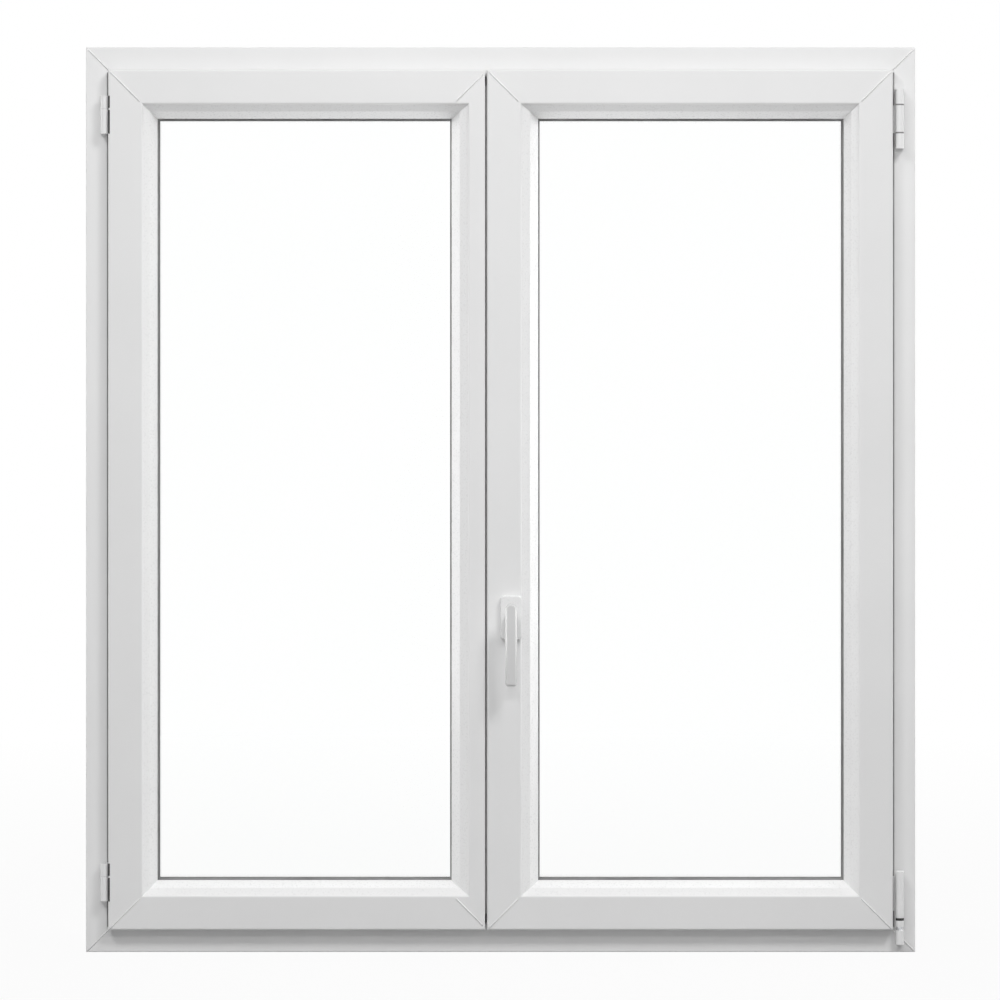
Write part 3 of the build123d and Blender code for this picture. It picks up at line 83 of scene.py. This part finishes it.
# Texture scales along X, Y and Z, per metre
UP = (500.0, 500.0, 1.5)  # lines that run upright
ACROSS = (1.5, 500.0, 500.0)  # lines that run across
EVEN = (420.0, 420.0, 420.0)
BRUSHED = (250.0, 250.0, 3.0)
ROLLED = (2.0, 300.0, 2.0)
CLOUD_SCALE = 5.0
RUBBER_CLOUD_SCALE = 30.0
RUBBER_GRAIN = 2500.0
SPANGLE_SCALE = 220.0
SPACER_SPANGLE_SCALE = 40.0
HAZE_SCALE = 3.0
FLOOR_CLOUD_SCALE = 0.7

# Finishes
NOISE_RANGE = (0.3, 0.7)  # the middle of the noise, which is mapped onto a finish
CLOUD_RANGE = (0.35, 0.65)
PVC = 0.83
PAINT = 0.84
PAINT_SPREAD = 0.01
PAINT_ROUGH = (0.28, 0.36)
PAINT_FROM = 0.5195  # place along X where the stay's zinc ends and its painted knuckle begins
PLASTIC_IOR = 1.52
PLASTIC_ROUGH_SPREAD = 0.05
COAT_ROUGHNESS = 0.12
DIE_LINES = 0.15  # height of the lines, as a share of the grain's
RUBBER_TONES = (0.8, 1.2)
RUBBER_ROUGH = (0.6, 0.78)
ZINC_TONES = ((0.50, 0.51, 0.53), (0.72, 0.73, 0.74))
ZINC_ROUGH = 0.34
SPACER_TONES = ((0.42, 0.43, 0.44), (0.6, 0.61, 0.62))
SPACER_ROUGH = 0.35
METAL_SMOOTHER = 0.08
METAL_ROUGHER = 0.1
GLASS_TONES = ((0.995, 0.999, 0.997), (0.999, 1.0, 1.0))
GLASS_ROUGH = (0.0, 0.015)
GLASS_IOR = 1.5

# Stage
WHITE = (1.0, 1.0, 1.0, 1.0)
FLOOR_HALF = 30.0
FLOOR_LEVEL = -0.0005
FLOOR_GREY = 0.36
FLOOR_SPREAD = 0.01
FLOOR_ROUGH = 0.9
FLOOR_WHITE = 0.95  # share of plain white that the camera sees close to the object
FADE_FROM = 0.8  # distance at which the floor starts to fade into the white behind it
FADE_TO = 4.0
AMBIENT = 0.06
AIM = (0.0, 0.0, 0.6)
UPPER_BEADS = (0.0, -0.05, 1.15)


# Shader nodes

def even(value):
    """The same number three times: a scale along all axes, or a grey."""
    return (value, value, value)


def nodes_of(name):
    """A new material, its node tree and its shader."""
    material = bpy.data.materials.new(name)
    material.use_nodes = True
    tree = material.node_tree
    return material, tree, tree.nodes["Principled BSDF"]


def object_place(tree):
    """Object coordinates, which are the window's own, because every node's object sits at the origin."""
    return tree.nodes.new("ShaderNodeTexCoord").outputs["Object"]


def noise(tree, scale, detail=3.0):
    """Noise over object coordinates that are scaled along each axis."""
    mapping = tree.nodes.new("ShaderNodeMapping")
    mapping.inputs["Scale"].default_value = scale
    texture = tree.nodes.new("ShaderNodeTexNoise")
    texture.inputs["Scale"].default_value = 1.0
    texture.inputs["Detail"].default_value = detail
    tree.links.new(object_place(tree), mapping.inputs["Vector"])
    tree.links.new(mapping.outputs["Vector"], texture.inputs["Vector"])
    return texture.outputs["Fac"]


def ramp(tree, value, colours, places=NOISE_RANGE):
    """A colour ramp between two colours."""
    node = tree.nodes.new("ShaderNodeValToRGB")
    for element, place, colour in zip(node.color_ramp.elements, places, colours):
        element.position = place
        element.color = (*colour, 1.0)
    tree.links.new(value, node.inputs["Fac"])
    return node.outputs["Color"]


def to_range(tree, value, low, high, source=NOISE_RANGE):
    """Maps one range of a value onto another, with the ends held."""
    node = tree.nodes.new("ShaderNodeMapRange")
    node.inputs["From Min"].default_value, node.inputs["From Max"].default_value = source
    node.inputs["To Min"].default_value = low
    node.inputs["To Max"].default_value = high
    tree.links.new(value, node.inputs["Value"])
    return node.outputs["Result"]


def maths(tree, operation, *values):
    """A Math node over sockets and plain numbers."""
    node = tree.nodes.new("ShaderNodeMath")
    node.operation = operation
    for socket, value in zip(node.inputs, values):
        if isinstance(value, float):
            socket.default_value = value
        else:
            tree.links.new(value, socket)
    return node.outputs["Value"]


def mixed(tree, mask, first, second, kind):
    """One value or colour where the mask is 0, another where it is 1."""
    node = tree.nodes.new("ShaderNodeMix")
    node.data_type = kind
    low, high, out = {"FLOAT": (2, 3, 0), "RGBA": (6, 7, 2)}[kind]  # the node's sockets for each kind
    tree.links.new(mask, node.inputs[0])
    tree.links.new(first, node.inputs[low])
    tree.links.new(second, node.inputs[high])
    return node.outputs[out]


def bump(tree, shader, height, strength, distance):
    """Gives a shader the relief of a height."""
    node = tree.nodes.new("ShaderNodeBump")
    node.inputs["Strength"].default_value = strength
    node.inputs["Distance"].default_value = distance
    tree.links.new(height, node.inputs["Height"])
    tree.links.new(node.outputs["Normal"], shader.inputs["Normal"])


def show_mixed(tree, share, first, second, output):
    """Shows one shader, or a share of another, on a material or a world."""
    mix = tree.nodes.new("ShaderNodeMixShader")
    for socket, value in zip(mix.inputs, (share, first, second)):
        tree.links.new(value, socket)
    tree.links.new(mix.outputs["Shader"], tree.nodes[output].inputs["Surface"])


def looked_at(tree):
    """1 where the camera, a gloss or the glass looks, and 0 for the light that falls on the object."""
    path = tree.nodes.new("ShaderNodeLightPath")
    seen = path.outputs["Is Camera Ray"]
    for other in ("Is Glossy Ray", "Is Transmission Ray"):
        seen = maths(tree, "MAXIMUM", seen, path.outputs[other])
    return seen


# Finishes

def coated(name, level, stretch, rough, spread=0.012, grain=900.0, coat=0.0):
    """Smooth plastic or paint: faint mottling, fine grain, and die lines along the stretch."""
    material, tree, shader = nodes_of(name)
    cloud = noise(tree, even(CLOUD_SCALE), detail=4.0)
    tones = (even(level - spread), even(level + spread))
    tree.links.new(ramp(tree, cloud, tones, CLOUD_RANGE), shader.inputs["Base Color"])
    fine = noise(tree, even(grain), detail=2.0)
    streak = noise(tree, stretch, detail=2.0)
    roughness = to_range(tree, streak, rough - PLASTIC_ROUGH_SPREAD, rough + PLASTIC_ROUGH_SPREAD)
    tree.links.new(roughness, shader.inputs["Roughness"])
    height = maths(tree, "MULTIPLY_ADD", streak, DIE_LINES, fine)
    bump(tree, shader, height, strength=0.05, distance=0.0004)
    shader.inputs["Coat Weight"].default_value = coat
    shader.inputs["Coat Roughness"].default_value = COAT_ROUGHNESS
    shader.inputs["IOR"].default_value = PLASTIC_IOR
    return material


def rubber(name, level):
    """Matt rubber with soft patches and a fine grain."""
    material, tree, shader = nodes_of(name)
    cloud = noise(tree, even(RUBBER_CLOUD_SCALE))
    tones = [even(level * tone) for tone in RUBBER_TONES]
    tree.links.new(ramp(tree, cloud, tones), shader.inputs["Base Color"])
    tree.links.new(to_range(tree, cloud, *RUBBER_ROUGH), shader.inputs["Roughness"])
    bump(tree, shader, noise(tree, even(RUBBER_GRAIN)), strength=0.2, distance=0.0002)
    return material


def metal(name, tones, rough, stretch, spangle_scale):
    """Bare metal with a spangle in its colour and brushed lines in its gloss."""
    material, tree, shader = nodes_of(name)
    spangle = noise(tree, even(spangle_scale), detail=5.0)
    tree.links.new(ramp(tree, spangle, tones), shader.inputs["Base Color"])
    shader.inputs["Metallic"].default_value = 1.0
    brushed = noise(tree, stretch, detail=2.0)
    roughness = to_range(tree, brushed, rough - METAL_SMOOTHER, rough + METAL_ROUGHER)
    tree.links.new(roughness, shader.inputs["Roughness"])
    bump(tree, shader, brushed, strength=0.06, distance=0.0003)
    return material


def zinc_plated(name):
    return metal(name, ZINC_TONES, ZINC_ROUGH, BRUSHED, SPANGLE_SCALE)


def part_painted(name, edge):
    """Zinc up to a place along X, and white paint beyond it, where a hinge part shows."""
    material = zinc_plated(name)
    tree = material.node_tree
    shader = tree.nodes["Principled BSDF"]
    split = tree.nodes.new("ShaderNodeSeparateXYZ")
    tree.links.new(object_place(tree), split.inputs[0])
    bare = maths(tree, "LESS_THAN", split.outputs["X"], edge)
    cloud = noise(tree, even(CLOUD_SCALE), detail=4.0)
    tones = (even(PAINT - PAINT_SPREAD), even(PAINT + PAINT_SPREAD))
    colour = ramp(tree, cloud, tones, CLOUD_RANGE)
    roughness = to_range(tree, cloud, *PAINT_ROUGH)
    for socket, paint, kind in (("Base Color", colour, "RGBA"), ("Roughness", roughness, "FLOAT")):
        zinc = shader.inputs[socket].links[0].from_socket
        tree.links.new(mixed(tree, bare, paint, zinc, kind), shader.inputs[socket])
    tree.links.new(bare, shader.inputs["Metallic"])
    return material


def clear_glass(name):
    """Clear glass that lets the lamps' light through."""
    material, tree, shader = nodes_of(name)
    haze = noise(tree, even(HAZE_SCALE))
    tree.links.new(ramp(tree, haze, GLASS_TONES), shader.inputs["Base Color"])
    tree.links.new(to_range(tree, haze, *GLASS_ROUGH), shader.inputs["Roughness"])
    shader.inputs["Transmission Weight"].default_value = 1.0
    shader.inputs["IOR"].default_value = GLASS_IOR
    shadow = tree.nodes.new("ShaderNodeLightPath").outputs["Is Shadow Ray"]
    through = tree.nodes.new("ShaderNodeBsdfTransparent").outputs["BSDF"]
    show_mixed(tree, shadow, shader.outputs["BSDF"], through, "Material Output")
    return material


PVC_UP = coated("pvc_upright", PVC, UP, 0.36)
PVC_ACROSS = coated("pvc_across", PVC, ACROSS, 0.36)
BEAD = coated("bead_plastic", 0.85, EVEN, 0.30, coat=0.1)
HINGE = coated("hinge_paint", PAINT, EVEN, 0.32, coat=0.25)
ROSETTE = coated("rosette_paint", PAINT, EVEN, 0.30, grain=1400.0, coat=0.3)
# Painted shade: the lever's paint is greyer than the rosette's, 0.68 against 0.84, and stands in for the
# darker shading of the lever's face.
PAINTED_SHADE_LEVER = coated("lever_paint_painted_shade", 0.68, EVEN, 0.18, grain=1400.0, coat=0.6)
TRIM = coated("trim_plastic", 0.82, EVEN, 0.42)
BLOCK = coated("block_plastic", 0.10, EVEN, 0.5, spread=0.02)
RUBBER = rubber("gasket_rubber", 0.25)
STAY = part_painted("stay_finish", PAINT_FROM)
# Black rubber for the corner washer, and painted shade for the black strips beside the left hinges.
WASHER_RUBBER_AND_PAINTED_SHADE = rubber("washer_rubber_and_painted_shade", 0.02)
SEALANT = rubber("edge_sealant", 0.05)
GLASS = clear_glass("window_glass")
SPACER = metal("spacer_bar", SPACER_TONES, SPACER_ROUGH, ROLLED, SPACER_SPANGLE_SCALE)
ZINC = zinc_plated("zinc_plate")

FINISH = {
    PVC_UP: (
        "frame_jamb_left", "frame_jamb_right", "left_hinge_stile", "left_meeting_stile",
        "right_hinge_stile", "right_lock_stile", "floating_mullion"),
    PVC_ACROSS: (
        "frame_head", "frame_sill", "left_top_rail", "left_bottom_rail", "right_top_rail",
        "right_bottom_rail"),
    BEAD: ("left_beads", "right_beads"),
    TRIM: ("drain_caps", "mullion_end_caps"),
    HINGE: (
        "left_hinge_frame_leaves", "left_hinge_sash_leaves", "stay_bearing", "corner_bearing",
        "corner_hinge_cap"),
    ROSETTE: ("handle_rosette",),
    PAINTED_SHADE_LEVER: ("handle_lever",),
    RUBBER: (
        "frame_gasket", "left_leaf_gasket", "right_leaf_gasket", "left_glazing_gaskets",
        "right_glazing_gaskets"),
    SEALANT: ("left_edge_sealant", "right_edge_sealant"),
    GLASS: ("left_panes", "right_panes"),
    SPACER: ("left_spacer", "right_spacer"),
    BLOCK: ("left_setting_blocks", "right_setting_blocks", "bolt_guides", "handle_base"),
    STAY: ("stay_arm", "corner_hinge_strap"),
    ZINC: (
        "frame_reinforcement", "frame_strikers", "left_hinge_pins", "stay_bearing_pin",
        "left_reinforcement", "mullion_strikers", "upper_shoot_bolt", "lower_shoot_bolt",
        "corner_pivot", "right_reinforcement", "faceplates", "corner_drives",
        "gearbox_case", "handle_screws", "lock_rod", "top_rod", "bottom_rod",
        "handle_spindle", "drive_pinion"),
}


def paint_nodes():
    """Gives every node its finish."""
    for material, names in FINISH.items():
        for name in names:
            mesh = NODES[name].data
            mesh.materials.clear()
            mesh.materials.append(material)


# Pieces

def placed(name, data):
    """A new object in the scene."""
    item = bpy.data.objects.new(name, data)
    bpy.context.scene.collection.objects.link(item)
    return item


def finished(name, build, material):
    """Turns a mesh that was being built into a piece."""
    bmesh.ops.recalc_face_normals(build, faces=build.faces)
    mesh = bpy.data.meshes.new(name)
    build.to_mesh(mesh)
    build.free()
    mesh.materials.append(material)
    return placed(name, mesh)


def seam_rows(start, end):
    """Rows of points over a low rounded ridge, on a face that looks along -Y, between two of its points."""
    along = end - start
    across = along.normalized().cross(Vector((0.0, 1.0, 0.0)))
    out = Vector((0.0, -1.0, 0.0))
    rows = []
    for station in SEAM_STATIONS:
        height = SEAM_HEIGHT * (SEAM_END_SWELL if station in (0.0, 1.0) else 1.0)
        row = []
        for i in range(SEAM_STEPS + 1):
            share = i / SEAM_STEPS
            rise = height * sin(pi * share) - (SEAM_SINK if i in (0, SEAM_STEPS) else 0.0)
            row.append(start + along * station + across * SEAM_WIDTH * (share - 0.5) + out * rise)
        rows.append(row)
    return rows


def seam_piece(name, lines, body):
    """Weld seams along mitre lines, as one closed ridge for each line."""
    build = bmesh.new()
    for start, end in lines:
        rows = [[build.verts.new(point) for point in row] for row in seam_rows(Vector(start), Vector(end))]
        faces = [rows[0], rows[-1]]
        for row, after in zip(rows, rows[1:]):
            faces += [(row[i], row[i + 1], after[i + 1], after[i]) for i in range(SEAM_STEPS)]
            faces.append((row[0], after[0], after[-1], row[-1]))
        for corners in faces:
            build.faces.new(corners).smooth = len(corners) == 4
    piece = finished(name, build, PVC_UP)
    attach(piece, body)


def mitre_lines(box, depth, start, end, sides=(-1, 1)):
    """45 degree lines at the corners of a box, from one inset to another."""
    (x0, _, z0), (x1, _, z1) = box
    corners = {-1: x0, 1: x1}
    lines = []
    for side in sides:
        for up, z in ((1, z0), (-1, z1)):
            x = corners[side]
            lines.append((
                (x - side * start, depth, z + up * start),
                (x - side * end, depth, z + up * end)))
    return lines


def joined(*names):
    """The box round several nodes."""
    boxes = [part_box(name) for name in names]
    low = [min(box[0][i] for box in boxes) for i in range(3)]
    high = [max(box[1][i] for box in boxes) for i in range(3)]
    return low, high


def weld_seams():
    """Seams on the visible faces: frame corners, and the flats of both leaves up to the beads."""
    frame_box = joined("frame_head", "frame_sill")
    left_box = joined("left_hinge_stile", "left_meeting_stile")
    right_box = joined("right_hinge_stile", "right_lock_stile")
    leaf_face = right_box[0][1]
    frame_face = frame_box[0][1]
    sight = right_box[0][2] - frame_box[0][2]
    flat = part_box("right_beads")[0][2] - right_box[0][2] - EDGE_ROUND
    meeting_edge = right_box[0][0] - MEETING_GAP
    seam_piece("frame_weld_seams", mitre_lines(frame_box, frame_face, EDGE_ROUND, sight), "frame")
    lines = mitre_lines(left_box, leaf_face, EDGE_ROUND, flat, (-1,))
    lines += mitre_lines(left_box, leaf_face, left_box[1][0] - meeting_edge + EDGE_ROUND, flat, (1,))
    seam_piece("left_weld_seams", lines, "left_leaf")
    seam_piece("right_weld_seams", mitre_lines(right_box, leaf_face, EDGE_ROUND, flat), "right_leaf")


def rubber_piece(name, build, body, material):
    """Turns a mesh that was being built into a piece of rubber on a body."""
    piece = finished(name, build, material)
    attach(piece, body)


def slab(build, low, high, ease):
    """A thin block with its front edges eased, added to a mesh being built."""
    (x0, y0, z0), (x1, y1, z1) = low, high
    front = [(x0 + ease, z0 + ease), (x1 - ease, z0 + ease), (x1 - ease, z1 - ease), (x0 + ease, z1 - ease)]
    rim = [(x0, z0), (x1, z0), (x1, z1), (x0, z1)]
    rings = [
        [build.verts.new((x, y, z)) for x, z in outline]
        for outline, y in ((front, y0), (rim, y0 + ease), (rim, y1))]
    build.faces.new(rings[0])
    build.faces.new(list(reversed(rings[-1])))
    for near, far in zip(rings, rings[1:]):
        for i in range(4):
            j = (i + 1) % 4
            build.faces.new((near[j], near[i], far[i], far[j]))


def painted_shade_strips():
    """Painted shade: black strips along the leaf's edge beside the two left hinges, broken at the joint, in
    place of the shade in the gap between the hinge barrels and the leaf.
    """
    frame_low, frame_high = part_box("left_hinge_frame_leaves")
    _, leaf_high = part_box("left_hinge_sash_leaves")
    (edge, face, _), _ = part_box("left_hinge_stile")
    above = leaf_high[2] - frame_high[2]  # from a hinge's joint to its upper end
    build = bmesh.new()
    for top in (leaf_high[2], frame_low[2] + HINGE_HEIGHT):
        joint = top - above
        for low, high in ((top - HINGE_HEIGHT, joint - STRIP_SPLIT), (joint + STRIP_SPLIT, top)):
            start = (edge, face - STRIP_PROUD, low)
            slab(build, start, (edge + STRIP_WIDTH, face + EDGE_ROUND, high), STRIP_PROUD / 2)
    # Painted shade: these black strips stand in for the shade in the gap beside the hinge barrels.
    rubber_piece("left_hinge_painted_shade", build, "left_leaf", WASHER_RUBBER_AND_PAINTED_SHADE)


def lip_seals():
    """The thin lips of the leaf gaskets that show beside the jambs."""
    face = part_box("frame_sill")[0][1]
    for side, name, stile in ((-1, "left_leaf", "left_hinge_stile"), (1, "right_leaf", "right_hinge_stile")):
        low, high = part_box(stile)
        edge = low[0] if side < 0 else high[0]
        near, far = sorted((edge - side * LIP_SUNK, edge + side * LIP_WIDTH))
        build = bmesh.new()
        start = (near, face - LIP_PROUD, low[2] + EDGE_ROUND)
        slab(build, start, (far, face, high[2] - EDGE_ROUND), LIP_SUNK / 2)
        rubber_piece(name + "_lip", build, name, RUBBER)


def washer(build, centre, radius, height):
    """A washer turned about an upright axis, sunk into the barrel it sits on."""
    x, y, z = centre
    half = height / 2
    inner, outer = radius - WASHER_SUNK, radius + WASHER_PROUD
    profile = [
        (inner, -half), (outer - WASHER_EASE, -half), (outer, WASHER_EASE - half),
        (outer, half - WASHER_EASE), (outer - WASHER_EASE, half), (inner, half)]
    rows = []
    for step in range(WASHER_STEPS):
        turn = 2 * pi * step / WASHER_STEPS
        rows.append([build.verts.new((x + r * cos(turn), y + r * sin(turn), z + up)) for r, up in profile])
    for row, after in zip(rows, rows[1:] + rows[:1]):
        for i in range(len(profile)):
            j = (i + 1) % len(profile)
            build.faces.new((row[i], after[i], after[j], row[j]))


def hinge_washers():
    """Washers at the joints of the right hinges: two at the stay bearing, one under the corner cap."""
    low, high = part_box("stay_bearing_pin")
    x, y = (low[0] + high[0]) / 2, (low[1] + high[1]) / 2
    _, cap_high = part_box("corner_hinge_cap")
    radius = cap_high[0] - x
    build = bmesh.new()
    for joint in STAY_JOINTS:
        washer(build, (x, y, low[2] + joint), radius, STAY_WASHER_HEIGHT)
    rubber_piece("stay_washers", build, "frame", RUBBER)
    build = bmesh.new()
    washer(build, (x, y, CORNER_JOINT), radius, CORNER_WASHER_HEIGHT)
    rubber_piece("corner_washer", build, "right_leaf", WASHER_RUBBER_AND_PAINTED_SHADE)


# Stage

def floor_material():
    """Pale paint that the camera sees as mostly white, with the object's shadow kept near the object."""
    material, tree, shader = nodes_of("floor_paint")
    tones = (even(FLOOR_GREY - FLOOR_SPREAD), even(FLOOR_GREY + FLOOR_SPREAD))
    colour = ramp(tree, noise(tree, even(FLOOR_CLOUD_SCALE)), tones)
    tree.links.new(colour, shader.inputs["Base Color"])
    shader.inputs["Roughness"].default_value = FLOOR_ROUGH
    away = tree.nodes.new("ShaderNodeVectorMath")
    away.operation = "LENGTH"
    tree.links.new(object_place(tree), away.inputs[0])
    fade = to_range(tree, away.outputs["Value"], FLOOR_WHITE, 1.0, (FADE_FROM, FADE_TO))
    share = maths(tree, "MULTIPLY", looked_at(tree), fade)
    glow = tree.nodes.new("ShaderNodeEmission")
    glow.inputs["Color"].default_value = WHITE
    show_mixed(tree, share, shader.outputs["BSDF"], glow.outputs["Emission"], "Material Output")
    return material


def make_floor():
    """A plain floor just under the window."""
    mesh = bpy.data.meshes.new("floor")
    signs = ((-1, -1), (1, -1), (1, 1), (-1, 1))
    mesh.from_pydata([(x * FLOOR_HALF, y * FLOOR_HALF, FLOOR_LEVEL) for x, y in signs], [], [(0, 1, 2, 3)])
    mesh.materials.append(floor_material())
    floor = placed("floor", mesh)


def make_world():
    """Even light, and white where the camera, a gloss or the glass looks past the object."""
    world = bpy.data.worlds.new("studio")
    bpy.context.scene.world = world
    world.use_nodes = True
    tree = world.node_tree
    background = tree.nodes["Background"]
    background.inputs["Color"].default_value = WHITE
    background.inputs["Strength"].default_value = AMBIENT
    white = tree.nodes.new("ShaderNodeBackground")
    white.inputs["Color"].default_value = WHITE
    show_mixed(
        tree, looked_at(tree), background.outputs["Background"], white.outputs["Background"], "World Output")


def lamp(name, place, size, power, aim=AIM, mirrored=True, spread=180.0):
    """A soft rectangular lamp, which glossy surfaces may or may not show."""
    data = bpy.data.lights.new(name, "AREA")
    data.shape = "RECTANGLE"
    data.size, data.size_y = size
    data.energy = power
    data.spread = radians(spread)
    lit = placed(name, data)
    lit.location = place
    lit.visible_glossy = mirrored
    lit.visible_transmission = mirrored
    lit.visible_camera = False
    lit.rotation_euler = (Vector(aim) - Vector(place)).to_track_quat("-Z", "Y").to_euler()


def make_lamps():
    """Two key lamps high in front, lamps beside the window, and weak fills in front, below and behind."""
    lamp("front", (0.0, -2.7, 1.8), size=(1.6, 0.6), power=18.0, mirrored=False)
    lamp("low", (0.0, -2.8, 0.8), size=(0.8, 1.0), power=4.5, mirrored=False)
    for side, mark, key_power in ((1, "right", 91.0), (-1, "left", 68.0)):
        lamp("key_" + mark, (side * 2.0, -3.0, 4.0), size=(1.2, 1.2), power=key_power)
        lamp("side_" + mark, (side * 3.6, 1.2, 0.7), size=(1.0, 1.6), power=33.0)
        lamp("rim_" + mark, (side * 3.2, -0.16, 0.6), size=(0.2, 1.2), power=5.0)
    lamp("up", (0.0, 0.55, 0.06), size=(1.0, 0.2), power=2.2, aim=UPPER_BEADS, mirrored=False, spread=70.0)
    lamp("back", (0.0, 3.6, 1.6), size=(2.0, 1.0), power=30.0, mirrored=False)


def make_camera():
    """A level camera square to the window, with a small shift that frames it as in the photograph."""
    data = bpy.data.cameras.new("camera")
    data.sensor_width = SENSOR
    width = IMAGE * MM_PER_PIXEL / 1000
    data.lens = SENSOR * CAMERA_DISTANCE / width
    middle = (SILL_ROW - PHOTO_MIDDLE[1]) * MM_PER_PIXEL / 1000
    data.shift_y = (middle - CAMERA_HEIGHT) / width
    data.shift_x = (IMAGE / 2 - PHOTO_MIDDLE[0]) / IMAGE
    camera = placed("camera", data)
    camera.location = (0.0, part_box("frame_head")[0][1] - CAMERA_DISTANCE, CAMERA_HEIGHT)
    camera.rotation_euler = (radians(90), 0, 0)
    bpy.context.scene.camera = camera


paint_nodes()
weld_seams()
painted_shade_strips()
lip_seals()
hinge_washers()
make_floor()
make_world()
make_lamps()
make_camera()
bpy.context.scene.view_settings.view_transform = "Standard"
